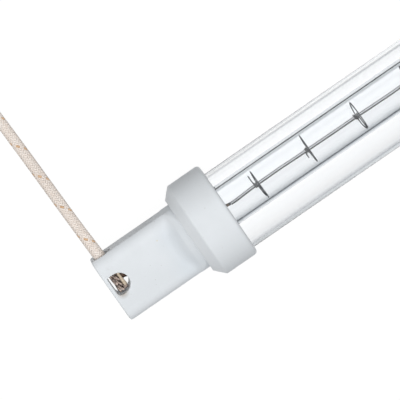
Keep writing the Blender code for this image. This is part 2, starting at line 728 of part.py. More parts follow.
def build():
    clear_scene()
    parts = collection_named("heating_tube")
    cutters = collection_named("heating_tube_cutters")
    ceramic = surface_named("ceramic", (0.76, 0.80, 0.83), 0.45)
    quartz = surface_named("quartz", (0.95, 0.97, 0.98), 0.02, transmission=1.0)
    cement = surface_named("cement", (0.70, 0.69, 0.66), 0.85)
    tungsten = surface_named("tungsten", (0.22, 0.23, 0.24), 0.40, metallic=1.0)
    metals = {
        "splice": surface_named("splice_metal", (0.34, 0.29, 0.24), 0.45, metallic=1.0),
        "pin": surface_named("pin_metal", (0.20, 0.17, 0.14), 0.50, metallic=1.0),
        "foil": surface_named("molybdenum", (0.42, 0.42, 0.44), 0.35, metallic=1.0),
        "stub": surface_named("stub_metal", (0.16, 0.11, 0.07), 0.50, metallic=1.0),
    }
    lead_surfaces = {
        "braid": surface_named("glass_braid", (0.72, 0.62, 0.55), 0.80),
        "tie": surface_named("glass_tape", (0.80, 0.79, 0.76), 0.85),
        "terminal": surface_named("tinned_copper", (0.66, 0.65, 0.62), 0.35, metallic=1.0),
    }
    for suffix, side in (("near", 1), ("far", -1)):
        build_cap("ceramic_cap_" + suffix, side, parts, cutters, ceramic)
        build_cement("cement_plug_" + suffix, side, parts, cutters, cement)
        build_current_path(suffix, side, parts, cutters, metals)
    build_jacket(parts, quartz)
    build_envelope(parts, quartz)
    build_filament(parts, tungsten)
    build_supports(parts, tungsten)
    build_lead(parts, cutters, lead_surfaces)


build()
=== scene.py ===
import math

import bmesh
import bpy
import numpy as np
from mathutils import Matrix, Vector


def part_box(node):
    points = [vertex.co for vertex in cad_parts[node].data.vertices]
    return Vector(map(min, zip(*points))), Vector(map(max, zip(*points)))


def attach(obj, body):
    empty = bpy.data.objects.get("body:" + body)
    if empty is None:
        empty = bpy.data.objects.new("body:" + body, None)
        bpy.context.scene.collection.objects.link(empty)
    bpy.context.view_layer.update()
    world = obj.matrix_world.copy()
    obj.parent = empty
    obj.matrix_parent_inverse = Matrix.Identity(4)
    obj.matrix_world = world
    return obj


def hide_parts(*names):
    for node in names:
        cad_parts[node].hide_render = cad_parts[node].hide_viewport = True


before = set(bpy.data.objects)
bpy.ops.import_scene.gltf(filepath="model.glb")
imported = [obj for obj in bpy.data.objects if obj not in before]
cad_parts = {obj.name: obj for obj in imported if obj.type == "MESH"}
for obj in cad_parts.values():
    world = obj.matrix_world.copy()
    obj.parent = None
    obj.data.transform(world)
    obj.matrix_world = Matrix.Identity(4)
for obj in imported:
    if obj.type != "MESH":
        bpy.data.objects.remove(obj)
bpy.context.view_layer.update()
print("solids loaded:", len(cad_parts))

# places that everything is measured from, read off the solids
nearLow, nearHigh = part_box("ceramic_cap_near")
jacketLow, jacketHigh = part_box("quartz_jacket")
envelopeLow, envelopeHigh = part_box("quartz_envelope")
lampEnd = -nearLow.x
capLength = nearHigh.x - nearLow.x
axisHeight = (nearLow.z + nearHigh.z) / 2
jacketShift = (jacketLow.y + jacketHigh.y) / 2
envelopeShift = (envelopeLow.y + envelopeHigh.y) / 2
lampEnds = (("near", 1), ("far", -1))

# the camera looks square across the lamp from above, leaning a little to the lead's side
cameraSet = {
    "lookAt": (-0.1034, 0.0074, 0.0166),
    "lean": 13.0,           # degrees from straight down, towards +Y
    "turn": 34.6,           # slope of the lamp's line in the picture
    "lens": 350.0,
    "pictureWidth": 0.125,  # metres across the picture at the lamp
}


def setCamera():
    data = bpy.data.cameras.new("camera")
    data.lens = cameraSet["lens"]
    data.clip_end = 20.0
    camera = bpy.data.objects.new("camera", data)
    bpy.context.scene.collection.objects.link(camera)
    lean = math.radians(cameraSet["lean"])
    turn = math.radians(cameraSet["turn"])
    back = Vector((0.0, math.sin(lean), math.cos(lean)))
    along = Vector((1.0, 0.0, 0.0))
    aside = back.cross(along)
    right = math.cos(turn) * along - math.sin(turn) * aside
    up = math.sin(turn) * along + math.cos(turn) * aside
    distance = cameraSet["pictureWidth"] * data.lens / data.sensor_width
    place = Vector(cameraSet["lookAt"]) + back * distance
    camera.matrix_world = Matrix((
        (right.x, up.x, back.x, place.x),
        (right.y, up.y, back.y, place.y),
        (right.z, up.z, back.z, place.z),
        (0.0, 0.0, 0.0, 1.0),
    ))
    bpy.context.scene.camera = camera


setCamera()
print("camera set")


# helpers for meshes
def ringFaces(rings, around, joined=False):
    # quads between neighbouring rings of points; joined also ties the last ring to the first
    here = np.arange(rings if joined else rings - 1)[:, None] * around
    beyond = (here + around) % (rings * around)
    step = np.arange(around)
    turn = (step + 1) % around
    return np.stack([here + step, here + turn, beyond + turn, beyond + step], axis=2).reshape(-1, 4)


def solidMesh(name, points, faces, sharp=40.0):
    # smooth shading, with edges kept sharp beyond the angle sharp, in degrees
    mesh = bpy.data.meshes.new(name)
    mesh.from_pydata(np.asarray(points).reshape(-1, 3).tolist(), [], [list(map(int, face)) for face in faces])
    shape = bmesh.new()
    shape.from_mesh(mesh)
    bmesh.ops.remove_doubles(shape, verts=shape.verts, dist=1e-7)
    bmesh.ops.recalc_face_normals(shape, faces=shape.faces)
    shape.to_mesh(mesh)
    shape.free()
    mesh.shade_smooth()
    mesh.set_sharp_from_angle(angle=math.radians(sharp))
    return mesh


def cappedTube(name, rings, sharp=40.0):
    # a skin over rings of points, closed at both ends
    rings = np.asarray(rings)
    count, around = rings.shape[:2]
    faces = ringFaces(count, around).tolist()
    faces.append(list(range(around)))
    faces.append(list(range((count - 1) * around, count * around)))
    return solidMesh(name, rings, faces, sharp)


def rounded(corners, steps):
    # a closed outline through (x, y, radius) corners, each turned into an arc of its radius
    places = np.array([corner[:2] for corner in corners], float)
    outline = []
    for index, (x, y, radius) in enumerate(corners):
        here = places[index]
        if radius == 0.0:
            outline.append(here)
            continue
        before = places[index - 1] - here
        after = places[(index + 1) % len(corners)] - here
        before /= np.linalg.norm(before)
        after /= np.linalg.norm(after)
        half = math.acos(np.clip(before @ after, -1.0, 1.0)) / 2
        middle = before + after
        centre = here + middle / np.linalg.norm(middle) * radius / math.sin(half)
        first = here + before * radius / math.tan(half) - centre
        last = here + after * radius / math.tan(half) - centre
        start = math.atan2(first[1], first[0])
        turn = math.remainder(math.atan2(last[1], last[0]) - start, 2 * math.pi)
        for step in range(steps + 1):
            angle = start + turn * step / steps
            outline.append(centre + radius * np.array((math.cos(angle), math.sin(angle))))
    return np.array(outline)


def alongLamp(profile, side, across, steps):
    # rings about the lamp's line for (radius, station) pairs; stations run inwards from a cap's end
    angle = np.linspace(0.0, 2 * math.pi, steps, endpoint=False)
    return np.array([[(side * (station - lampEnd), across + radius * c, axisHeight + radius * s)
                      for c, s in zip(np.cos(angle), np.sin(angle))] for radius, station in profile])


def closedTube(name, rings, sharp=40.0):
    # a tube with a bore: the last ring joins the first
    rings = np.asarray(rings)
    return solidMesh(name, rings, ringFaces(rings.shape[0], rings.shape[1], True), sharp)


def carved(name, body, steps, sharp=34.0):
    # joins to or cuts from the body each (operation, mesh) in turn, then evens the shading
    holder = bpy.data.objects.new(name, body)
    bpy.context.scene.collection.objects.link(holder)
    tools = []
    for operation, mesh in steps:
        tool = bpy.data.objects.new(name + "_tool", mesh)
        bpy.context.scene.collection.objects.link(tool)
        tools.append(tool)
        cut = holder.modifiers.new("cut", "BOOLEAN")
        cut.operation = operation
        cut.solver = "EXACT"
        cut.object = tool
    result = bpy.data.meshes.new_from_object(holder.evaluated_get(bpy.context.evaluated_depsgraph_get()))
    holder.modifiers.clear()
    shape = bmesh.new()
    shape.from_mesh(result)
    bmesh.ops.remove_doubles(shape, verts=shape.verts, dist=2e-6)
    bmesh.ops.dissolve_degenerate(shape, edges=shape.edges, dist=1e-6)
    bmesh.ops.triangulate(shape, faces=[face for face in shape.faces if len(face.verts) > 4])
    shape.to_mesh(result)
    shape.free()
    result.shade_smooth()
    result.set_sharp_from_angle(angle=math.radians(sharp))
    holder.data = result
    even = holder.modifiers.new("even", "WEIGHTED_NORMAL")
    even.keep_sharp = True
    final = bpy.data.meshes.new_from_object(holder.evaluated_get(bpy.context.evaluated_depsgraph_get()))
    final.name = name
    for item in [holder, *tools]:
        bpy.data.objects.remove(item, do_unlink=True)
    return final


def framesAlong(path):
    # the heading at each point, and two directions across it that never twist about it
    heading = np.gradient(path, axis=0)
    heading /= np.linalg.norm(heading, axis=1)[:, None]
    side = np.zeros_like(path)
    side[0] = np.cross(heading[0], (0.0, 0.0, 1.0))
    side[0] /= np.linalg.norm(side[0])
    for index in range(1, len(path)):
        level = side[index - 1] - heading[index] * (side[index - 1] @ heading[index])
        side[index] = level / np.linalg.norm(level)
    return heading, side, np.cross(heading, side)


def sweptRings(path, radius, around):
    # round rings along a path, of one radius or one for each point
    heading, side, over = framesAlong(path)
    angle = np.linspace(0.0, 2 * math.pi, around, endpoint=False)
    spokes = side[:, None] * np.cos(angle)[None, :, None] + over[:, None] * np.sin(angle)[None, :, None]
    return path[:, None] + np.asarray(radius).reshape(-1, 1, 1) * spokes


def spaced(path, step):
    # the same line with points an even step apart
    run = np.concatenate([[0.0], np.cumsum(np.linalg.norm(np.diff(path, axis=0), axis=1))])
    at = np.linspace(0.0, run[-1], int(round(run[-1] / step)) + 1)
    return np.stack([np.interp(at, run, path[:, axis]) for axis in range(path.shape[1])], axis=1)


def clamped(share):
    return min(max(share, 0.0), 1.0)


def eased(share):
    # a share from 0 to 1 that starts and ends softly
    return share * share * (3.0 - 2.0 * share)


def endRounding(radius, station):
    # how much narrower a softened edge is, a given way in from its end
    short = max(radius - station, 0.0)
    return radius - math.sqrt(radius ** 2 - short ** 2)


def grownOutline(outline, amount):
    # every point of a closed outline moved outwards by the same amount
    following = np.roll(outline, -1, axis=0) - outline
    following /= np.linalg.norm(following, axis=1)[:, None]
    before = np.roll(following, 1, axis=0)
    middle = before + following
    middle /= np.linalg.norm(middle, axis=1)[:, None]
    area = np.sum(outline[:, 0] * np.roll(outline[:, 1], -1) - np.roll(outline[:, 0], -1) * outline[:, 1])
    normal = np.stack([middle[:, 1], -middle[:, 0]], axis=1) * math.copysign(1.0, area)
    return outline + normal * amount


def markPoints(mesh, name, vectors):
    # keeps a vector for each point, which a finish can read
    attribute = mesh.attributes.new(name, "FLOAT_VECTOR", "POINT")
    attribute.data.foreach_set("vector", vectors.astype(np.float32).ravel())


def placePiece(name, mesh, replaced):
    piece = bpy.data.objects.new(name, mesh)
    bpy.context.scene.collection.objects.link(piece)
    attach(piece, "root")
    if replaced:
        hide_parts(*replaced)
    return piece


def showPiece(name, mesh, finish, replaced):
    mesh.materials.clear()
    mesh.materials.append(finish)
    return placePiece(name, mesh, replaced)


# helpers for finishes
def startFinish(name):
    finish = bpy.data.materials.new(name)
    finish.use_nodes = True
    tree = finish.node_tree
    return finish, tree, tree.nodes["Principled BSDF"]


def addNode(tree, kind, inputs=None, **settings):
    node = tree.nodes.new(kind)
    for key, value in settings.items():
        setattr(node, key, value)
    for key, value in (inputs or {}).items():
        if isinstance(value, bpy.types.NodeSocket):
            tree.links.new(value, node.inputs[key])
        else:
            node.inputs[key].default_value = value
    return node


def placeOf(tree, stretch=(1.0, 1.0, 1.0)):
    # position on the piece in metres, stretched so that a pattern can run along one axis
    coordinates = addNode(tree, "ShaderNodeTexCoord")
    return addNode(tree, "ShaderNodeMapping",
                   {"Vector": coordinates.outputs["Object"], "Scale": stretch}).outputs["Vector"]


def noiseOf(tree, place, scale, detail=3.0, roughness=0.5):
    return addNode(tree, "ShaderNodeTexNoise", {
        "Vector": place, "Scale": scale, "Detail": detail, "Roughness": roughness,
    }).outputs["Fac"]


def mathOf(tree, operation, *values, clamp=False):
    inputs = dict(enumerate(values))
    return addNode(tree, "ShaderNodeMath", inputs, operation=operation, use_clamp=clamp).outputs[0]


def between(tree, value, low, high, newLow=0.0, newHigh=1.0):
    # a value from low to high, brought to newLow to newHigh and held there beyond them
    return addNode(tree, "ShaderNodeMapRange", {
        "Value": value, "From Min": low, "From Max": high, "To Min": newLow, "To Max": newHigh,
    }).outputs["Result"]


def blendColours(tree, share, first, second):
    mixed = addNode(tree, "ShaderNodeMix", data_type="RGBA")
    for socket, value in ((mixed.inputs[0], share), (mixed.inputs[6], first), (mixed.inputs[7], second)):
        if isinstance(value, bpy.types.NodeSocket):
            tree.links.new(value, socket)
        else:
            socket.default_value = (*value, 1.0) if isinstance(value, tuple) else value
    return mixed.outputs[2]


def bumpOf(tree, height, strength, distance):
    return addNode(tree, "ShaderNodeBump", {
        "Height": height, "Strength": strength, "Distance": distance,
    }).outputs["Normal"]


def connect(tree, shader, **sockets):
    # an underscore in a name stands for the blank in the socket's name
    for name, value in sockets.items():
        tree.links.new(value, shader.inputs[name.replace("_", " ")])


def mixShaders(tree, share, first, second):
    mixed = addNode(tree, "ShaderNodeMixShader", {0: share})
    tree.links.new(first.outputs[0], mixed.inputs[1])
    tree.links.new(second.outputs[0], mixed.inputs[2])
    return mixed


# ceramic caps, in metres. Stations run inwards from the cap's outer end
capSet = {
    "collarRadius": (nearHigh.z - nearLow.z) / 2,
    "frontEdge": 0.0013,         # roundings of the collar's two rims
    "backEdge": 0.0009,
    "chamferStart": 0.0300,      # where the tab ends and the chamfer begins
    "chamferEnd": 0.0331,
    "chamferDepth": 0.0033,
    "tabWidth": 0.0223,
    "tabThickness": 0.0106,
    "sideHeight": 0.0062,        # of the tab's narrow side
    "edgeRadius": 0.0040,        # of the tab's long edges
    "corner": 0.0008,            # of the tab's end, as seen from above
    "endEdge": 0.0005,           # of the same end, as seen from the side
    "flareDrop": 0.0060,         # the flare arches about a line this far below the lamp's
    "flareBlend": 0.0021,        # size of the soft line where the tab meets it
    "foot": (0.0224, 0.0060),    # station and radius where the flare starts to rise
    "bend": (0.0277, 0.00905, 0.0028),   # station, height and radius where it turns up to the shoulder
    "bossHeight": 0.0104,        # height of the flare at the collar's shoulder
    "bossReach": 0.0015,         # how far it runs on inside the collar
    "flareStep": 0.00018,
    "seatGap": 0.0003,           # between the cap and either tube
    "overrun": 0.01,             # how far the shapes cut out of the cap reach past it
    "steps": 144,
    "tabSteps": 48,
}

# white moulded ceramic: fine grain, faint mottling, a few grey specks, painted shadow by the window, painted
# bluish shade in the flare and painted shade towards the side away from the lead
ceramicLook = {
    "white": (0.790, 0.825, 0.855),
    "shade": (0.755, 0.788, 0.815),
    "speck": (0.46, 0.45, 0.42),
    "speckScale": 1500.0,
    "speckRange": (0.25, 0.21),
    "speckStrength": 0.45,
    "roughness": (0.42, 0.56),
    "grain": 2600.0,
    "mottle": 110.0,
    # patches on the upper side: station, place across, size, strength, colour
    "patches": (
        # painted shadow: a brown patch beside the window's lower rim
        (0.0029, -0.0018, 0.0022, 0.70, (0.40, 0.35, 0.29)),     # brown, by the window
        (0.0209, 0.0057, 0.00026, 0.80, (0.72, 0.62, 0.30)),     # yellow speck
        # painted bluish shade in the hollow where the flare rises, on both sides of the tab
        (0.0255, -0.0062, 0.0080, 0.55, (0.672, 0.726, 0.772)),  # bluer, where the flare starts to rise
        (0.0258, 0.0034, 0.0070, 0.50, (0.672, 0.726, 0.772)),   # and again towards the lead
    ),
    "patchMiddle": 0.3,          # share of its size over which a patch has its full colour
    # painted shade: the body is greyer towards the side away from the lead
    "paintedShadeColour": (0.722, 0.754, 0.782),
    "paintedShadeFrom": 0.007,
    "paintedShadeTo": -0.005,
    "paintedShadeStrength": 0.75,
}


def makeCeramic():
    finish, tree, shader = startFinish("ceramic")
    place = placeOf(tree)
    mottle = noiseOf(tree, place, ceramicLook["mottle"], 4.0)
    grain = noiseOf(tree, place, ceramicLook["grain"], 3.0)
    specks = between(tree, noiseOf(tree, place, ceramicLook["speckScale"], 1.0), *ceramicLook["speckRange"])
    body = blendColours(tree, between(tree, mottle, 0.35, 0.70), ceramicLook["white"], ceramicLook["shade"])
    parts = addNode(tree, "ShaderNodeSeparateXYZ", {0: place})
    # painted shade: greyer towards the side away from the lead
    grey = between(tree, parts.outputs["Y"], ceramicLook["paintedShadeFrom"], ceramicLook["paintedShadeTo"],
                   0.0, ceramicLook["paintedShadeStrength"])
    body = blendColours(tree, grey, body, ceramicLook["paintedShadeColour"])
    speckShare = mathOf(tree, "MULTIPLY", specks, ceramicLook["speckStrength"], clamp=True)
    colour = blendColours(tree, speckShare, body, ceramicLook["speck"])
    # both caps alike: the place along the lamp loses its sign
    reach = mathOf(tree, "ABSOLUTE", parts.outputs["X"])
    folded = addNode(tree, "ShaderNodeCombineXYZ",
                     {0: reach, 1: parts.outputs["Y"], 2: parts.outputs["Z"]}).outputs["Vector"]
    # the brown patch by the window and the two bluer ones in the flare are painted shade; the yellow speck is
    # the ceramic's own
    for station, across, size, strength, patch in ceramicLook["patches"]:
        spot = (lampEnd - station, across, axisHeight + capSet["tabThickness"] / 2)
        far = addNode(tree, "ShaderNodeVectorMath", {0: folded, 1: spot}, operation="DISTANCE")
        share = between(tree, far.outputs["Value"], size, size * ceramicLook["patchMiddle"], 0.0, strength)
        colour = blendColours(tree, share, colour, patch)
    connect(tree, shader, Base_Color=colour,
            Roughness=between(tree, mottle, 0.3, 0.7, *ceramicLook["roughness"]),
            Normal=bumpOf(tree, grain, 0.30, 0.00003))
    return finish


# clear drawn quartz: faint long draw lines, and lamps shine through it
quartzLook = {
    "clear": (0.986, 0.992, 0.998),
    "cloudy": (0.974, 0.983, 0.991),
    "ior": 1.46,
    "drawLines": (3.0, 90.0, 90.0),
    "shadow": (0.97, 0.975, 0.98, 1.0),
}


def makeQuartz():
    finish, tree, shader = startFinish("quartz")
    shader.inputs["Transmission Weight"].default_value = 1.0
    shader.inputs["IOR"].default_value = quartzLook["ior"]
    shader.inputs["Roughness"].default_value = 0.0
    lines = noiseOf(tree, placeOf(tree, quartzLook["drawLines"]), 1.0, 2.0)
    colour = blendColours(tree, between(tree, lines, 0.35, 0.65), quartzLook["clear"], quartzLook["cloudy"])
    connect(tree, shader, Base_Color=colour, Normal=bumpOf(tree, lines, 0.05, 0.00001))
    path = addNode(tree, "ShaderNodeLightPath")
    clear = addNode(tree, "ShaderNodeBsdfTransparent", {"Color": quartzLook["shadow"]})
    mixed = mixShaders(tree, path.outputs["Is Shadow Ray"], shader, clear)
    tree.links.new(mixed.outputs[0], tree.nodes["Material Output"].inputs["Surface"])
    return finish


# metals, each blotched between two colours: light, dark, roughness, scale of the blotches, bump, metallic
metalLook = {
    "support_wire": ((0.10, 0.105, 0.11), (0.03, 0.03, 0.035), (0.25, 0.42), 1800.0, 0.1, 0.4),
    "outer_pin": ((0.20, 0.12, 0.08), (0.03, 0.02, 0.018), (0.40, 0.60), 1500.0, 0.2, 0.4),
    "molybdenum": ((0.50, 0.50, 0.52), (0.38, 0.38, 0.40), (0.25, 0.40), 900.0, 0.2, 1.0),
    "splice": ((0.10, 0.07, 0.05), (0.02, 0.015, 0.012), (0.35, 0.60), 1300.0, 0.5, 0.3),
    # strand: its near-white and near-black blotches are painted highlights and painted shade over the
    # strands' own copper brown
    "strand": ((0.86, 0.70, 0.61), (0.06, 0.035, 0.03), (0.25, 0.45), 1000.0, 0.3, 0.3),
    "splice_band": ((0.88, 0.76, 0.60), (0.56, 0.44, 0.31), (0.30, 0.50), 900.0, 0.3, 0.2),
    "tinned_copper": ((0.72, 0.71, 0.69), (0.58, 0.56, 0.53), (0.25, 0.45), 700.0, 0.2, 1.0),
}


def makeMetal(name, stretch=(1.0, 1.0, 1.0)):
    light, dark, roughness, scale, bump, metallic = metalLook[name]
    finish, tree, shader = startFinish(name)
    place = placeOf(tree, stretch)
    blotch = noiseOf(tree, place, scale, 4.0, 0.6)
    fine = noiseOf(tree, place, scale * 4, 2.0)
    shader.inputs["Metallic"].default_value = metallic
    connect(tree, shader,
            Base_Color=blendColours(tree, between(tree, blotch, 0.35, 0.65), light, dark),
            Roughness=between(tree, fine, 0.3, 0.7, *roughness),
            Normal=bumpOf(tree, fine, bump, 0.00002))
    return finish


# filament wire: painted highlight along the top, painted shade at the sides
tungstenLook = {
    # painted highlight: the near-white along the coil's top, blotched between two tones
    "paintedHighlight": (0.97, 0.97, 0.98),
    "paintedHighlightDim": (0.90, 0.90, 0.91),
    # painted shade at the sides: shares of the coil's radius where the dark starts and is full, and its
    # colour
    "sides": (
        (0.48, 0.78, (0.07, 0.07, 0.08)),        # towards the lead
        (-0.12, -0.30, (0.008, 0.008, 0.009)),   # away from it
    ),
    "roughness": (0.30, 0.45),
}


def makeTungsten():
    # the attribute "coil" holds the way round the coil of each point
    finish, tree, shader = startFinish("tungsten")
    coil = addNode(tree, "ShaderNodeAttribute", attribute_name="coil").outputs["Vector"]
    across = addNode(tree, "ShaderNodeSeparateXYZ", {0: coil}).outputs["X"]
    place = placeOf(tree)
    blotch = noiseOf(tree, place, 700.0, 3.0)
    share = between(tree, blotch, 0.35, 0.65)
    colour = blendColours(tree, share, tungstenLook["paintedHighlight"], tungstenLook["paintedHighlightDim"])
    # painted shade on the coil's sides, leaving the painted highlight along its top
    for start, full, dark in tungstenLook["sides"]:
        colour = blendColours(tree, between(tree, across, start, full), colour, dark)
    shader.inputs["Metallic"].default_value = 0.0
    connect(tree, shader, Base_Color=colour,
            Roughness=between(tree, blotch, 0.3, 0.7, *tungstenLook["roughness"]),
            Normal=bumpOf(tree, blotch, 0.1, 0.00001))
    return finish


# rods that carry the ends of the filament: stations in metres from the cap's outer end
stubSet = {
    "tip": 0.04700,
    "radius": 0.00048,
    "drop": 0.00030,             # how far the tip has bent aside
    "dome": 0.85,                # how round the tip is
    "brown": (0.30, 0.17, 0.08),
    "darkBrown": (0.05, 0.03, 0.02),
    "burnt": (0.012, 0.010, 0.010),
    "burntReach": (0.0010, 0.0007),   # where the burnt end begins and is full, back from the tip
}


def makeStub():
    # heat-stained rod, blackened towards the filament
    finish, tree, shader = startFinish("inner_pin")
    place = placeOf(tree)
    stain = noiseOf(tree, place, 1500.0, 4.0, 0.6)
    along = addNode(tree, "ShaderNodeSeparateXYZ", {0: place}).outputs["X"]
    reach = mathOf(tree, "ABSOLUTE", along)
    tip = lampEnd - stubSet["tip"]
    burnt = between(tree, reach, *(tip + back for back in stubSet["burntReach"]))
    brown = blendColours(tree, between(tree, stain, 0.38, 0.62), stubSet["brown"], stubSet["darkBrown"])
    shader.inputs["Metallic"].default_value = 0.3
    connect(tree, shader, Base_Color=blendColours(tree, burnt, brown, stubSet["burnt"]),
            Roughness=between(tree, stain, 0.3, 0.7, 0.40, 0.65), Normal=bumpOf(tree, stain, 0.3, 0.00003))
    return finish


# braided glass fibre
braidLook = {
    "ivory": (0.94, 0.87, 0.81),
    "tan": (0.84, 0.72, 0.63),
    "tracer": (0.80, 0.55, 0.35),
    "tracerDark": (0.66, 0.41, 0.23),
    "core": (0.52, 0.40, 0.31),
    "coreDark": (0.42, 0.31, 0.23),
    "fibres": (0.9, 9.0, 3.7),   # scales of the streaks and patches, along, across and from yarn to yarn
    "patches": (0.35, 0.6, 7.3),
}


def makeYarn(name, light, dark):
    # the attribute "yarn" holds length, place across and number of each yarn
    finish, tree, shader = startFinish(name)
    yarn = addNode(tree, "ShaderNodeAttribute", attribute_name="yarn").outputs["Vector"]
    fibres, patches = (
        addNode(tree, "ShaderNodeMapping", {"Vector": yarn, "Scale": braidLook[kind]}).outputs["Vector"]
        for kind in ("fibres", "patches"))
    streak = noiseOf(tree, fibres, 1.0, 3.0, 0.6)
    patch = noiseOf(tree, patches, 1.0, 2.0)
    both = mathOf(tree, "ADD", streak, patch)
    colour = blendColours(tree, between(tree, both, 0.82, 1.30), light, dark)
    shader.inputs["Sheen Weight"].default_value = 0.15
    connect(tree, shader, Base_Color=colour, Roughness=between(tree, streak, 0.3, 0.7, 0.62, 0.85),
            Normal=bumpOf(tree, streak, 0.5, 0.00006))
    return finish


def makeCore():
    finish, tree, shader = startFinish("lead_core")
    place = placeOf(tree)
    wear = noiseOf(tree, place, 900.0, 4.0)
    colour = blendColours(tree, between(tree, wear, 0.35, 0.65), braidLook["core"], braidLook["coreDark"])
    connect(tree, shader, Base_Color=colour, Roughness=between(tree, wear, 0.3, 0.7, 0.7, 0.9),
            Normal=bumpOf(tree, wear, 0.4, 0.0001))
    return finish


# woven glass tape
tapeLook = {
    "hollow": (0.60, 0.58, 0.54),
    "thread": (0.82, 0.81, 0.78),
    "scale": 260.0,
    "unevenness": 0.6,
}


def makeTape():
    # two sets of threads crossing
    finish, tree, shader = startFinish("glass_tape")
    place = placeOf(tree)
    warp, weft = (addNode(tree, "ShaderNodeTexWave", {
        "Vector": place, "Scale": tapeLook["scale"], "Distortion": tapeLook["unevenness"],
    }, bands_direction=way).outputs["Fac"] for way in "XY")
    weave = mathOf(tree, "MULTIPLY", warp, weft)
    colour = blendColours(tree, weave, tapeLook["hollow"], tapeLook["thread"])
    connect(tree, shader, Base_Color=colour, Roughness=between(tree, weave, 0.0, 1.0, 0.85, 0.65),
            Normal=bumpOf(tree, weave, 0.6, 0.0001))
    return finish


# gritty cement between the tubes, in the collar
cementLook = {
    "light": (0.74, 0.73, 0.70),
    "dark": (0.56, 0.55, 0.52),
    "grit": 1400.0,
}


def makeCement():
    finish, tree, shader = startFinish("cement")
    place = placeOf(tree)
    grit = noiseOf(tree, place, cementLook["grit"], 5.0, 0.7)
    colour = blendColours(tree, between(tree, grit, 0.35, 0.65), cementLook["light"], cementLook["dark"])
    connect(tree, shader, Base_Color=colour, Roughness=between(tree, grit, 0.3, 0.7, 0.8, 0.95),
            Normal=bumpOf(tree, grit, 0.8, 0.0002))
    return finish


ceramic = makeCeramic()
quartz = makeQuartz()
cement = makeCement()
tungsten = makeTungsten()
supportWire = makeMetal("support_wire")
innerPin = makeStub()
outerPin = makeMetal("outer_pin")
foilMetal = makeMetal("molybdenum", (0.2, 1.0, 1.0))
spliceMetal = makeMetal("splice")
strandMetal = makeMetal("strand")
bandMetal = makeMetal("splice_band")
tinned = makeMetal("tinned_copper")
ivoryYarn = makeYarn("ivory_yarn", braidLook["ivory"], braidLook["tan"])
tracerYarn = makeYarn("tracer_yarn", braidLook["tracer"], braidLook["tracerDark"])
leadCore = makeCore()
tape = makeTape()
print("finishes made:", len(bpy.data.materials))


# braided lead, in metres. Its points are the solid lead's own
leadSet = {
    "diameter": 0.0036,
    "floorHeight": 0.0019,     # the lead's centre where it lies on the floor
    "coilHeight": 0.0024,      # the same where the tie passes under it
    "coilOuterRadius": 0.02185,
    "coilPitch": 0.0037,
    "coilTurns": 2,
    "tailRadius": 0.0090,
    "tailSweep": 130.0,
    "tieAngle": 200.0,
    "tieSpread": 0.4,          # radians to either side of the tie over which the lead rises
    "coreDiameter": 0.0029,
    "clearance": 0.0003,       # between the splice and the end of the lead
    "step": 0.0003,
    "smoothing": 12,           # rounds in which each point moves towards its neighbours
}

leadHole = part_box("crimp_sleeve_near")[1].y + leadSet["clearance"]
leadRoute = np.array([
    (-lampEnd + 0.00375, leadHole, axisHeight),
    (-lampEnd + 0.00350, 0.0085, axisHeight),
    (-lampEnd + 0.00330, 0.0110, axisHeight),
    (-lampEnd + 0.00310, 0.0160, 0.0165),
    (-lampEnd + 0.00290, 0.0220, 0.0159),
    (-lampEnd + 0.00270, 0.0280, 0.0143),
    (-lampEnd + 0.00250, 0.0340, 0.0117),
    (-lampEnd + 0.00230, 0.0400, 0.0088),
    (-lampEnd + 0.00210, 0.0460, 0.0061),
    (-lampEnd + 0.00190, 0.0520, 0.0040),
    (-lampEnd + 0.00170, 0.0580, 0.0026),
    (-lampEnd + 0.00150, 0.0640, leadSet["floorHeight"]),
    (-lampEnd + 0.00135, 0.0685, leadSet["floorHeight"]),
    (-lampEnd + 0.00120, 0.0730, leadSet["floorHeight"]),
    (-lampEnd + 0.00105, 0.0775, leadSet["floorHeight"]),
    (-lampEnd + 0.00090, 0.0820, leadSet["floorHeight"]),
])


def smoothThrough(points, steps):
    # a smooth curve that passes through every point
    curve = []
    last = len(points) - 1
    for index in range(last):
        before, here = points[max(index - 1, 0)], points[index]
        after, beyond = points[index + 1], points[min(index + 2, last)]
        for step in range(steps):
            share = step / steps
            curve.append(0.5 * (
                2 * here
                + (after - before) * share
                + (2 * before - 5 * here + 4 * after - beyond) * share ** 2
                + (3 * here - before - 3 * after + beyond) * share ** 3
            ))
    curve.append(points[last])
    return np.array(curve)


def coilPlace():
    # the coil's middle, and the angle at which the lead meets it
    heading = leadRoute[-1] - leadRoute[-2]
    heading = heading / np.linalg.norm(heading)
    inward = np.array((-heading[1], heading[0], 0.0))
    return leadRoute[-1] + inward * leadSet["coilOuterRadius"], math.atan2(-inward[1], -inward[0])


def leadPath():
    # out of the cap, down to the floor, round the coil and into the short tail
    centre, first = coilPlace()
    turns = leadSet["coilTurns"]
    sweep = np.linspace(0.0, 2 * math.pi * turns, 60 * turns)[1:]
    radius = leadSet["coilOuterRadius"] - leadSet["coilPitch"] * sweep / (2 * math.pi)
    lift = np.remainder(first + sweep - math.radians(leadSet["tieAngle"]) + math.pi, 2 * math.pi) - math.pi
    rise = leadSet["coilHeight"] - leadSet["floorHeight"]
    height = leadSet["floorHeight"] + rise * np.exp(-(lift / leadSet["tieSpread"]) ** 2)
    coil = np.stack([
        centre[0] + radius * np.cos(first + sweep), centre[1] + radius * np.sin(first + sweep), height,
    ], axis=1)
    hub = centre + (radius[-1] - leadSet["tailRadius"]) * np.array((math.cos(first), math.sin(first), 0.0))
    bend = first + np.radians(np.linspace(0.0, leadSet["tailSweep"], 24))[1:]
    tail = np.stack([
        hub[0] + leadSet["tailRadius"] * np.cos(bend), hub[1] + leadSet["tailRadius"] * np.sin(bend),
        np.full(len(bend), leadSet["floorHeight"]),
    ], axis=1)
    path = spaced(np.concatenate([smoothThrough(leadRoute, 8), coil, tail]), leadSet["step"])
    for _ in range(leadSet["smoothing"]):
        path[1:-1] = (path[:-2] + 2 * path[1:-1] + path[2:]) / 4
    return spaced(path, leadSet["step"])


leadLine = leadPath()
leadLength = float(np.linalg.norm(np.diff(leadLine, axis=0), axis=1).sum())
print("lead length, metres:", round(leadLength, 4))

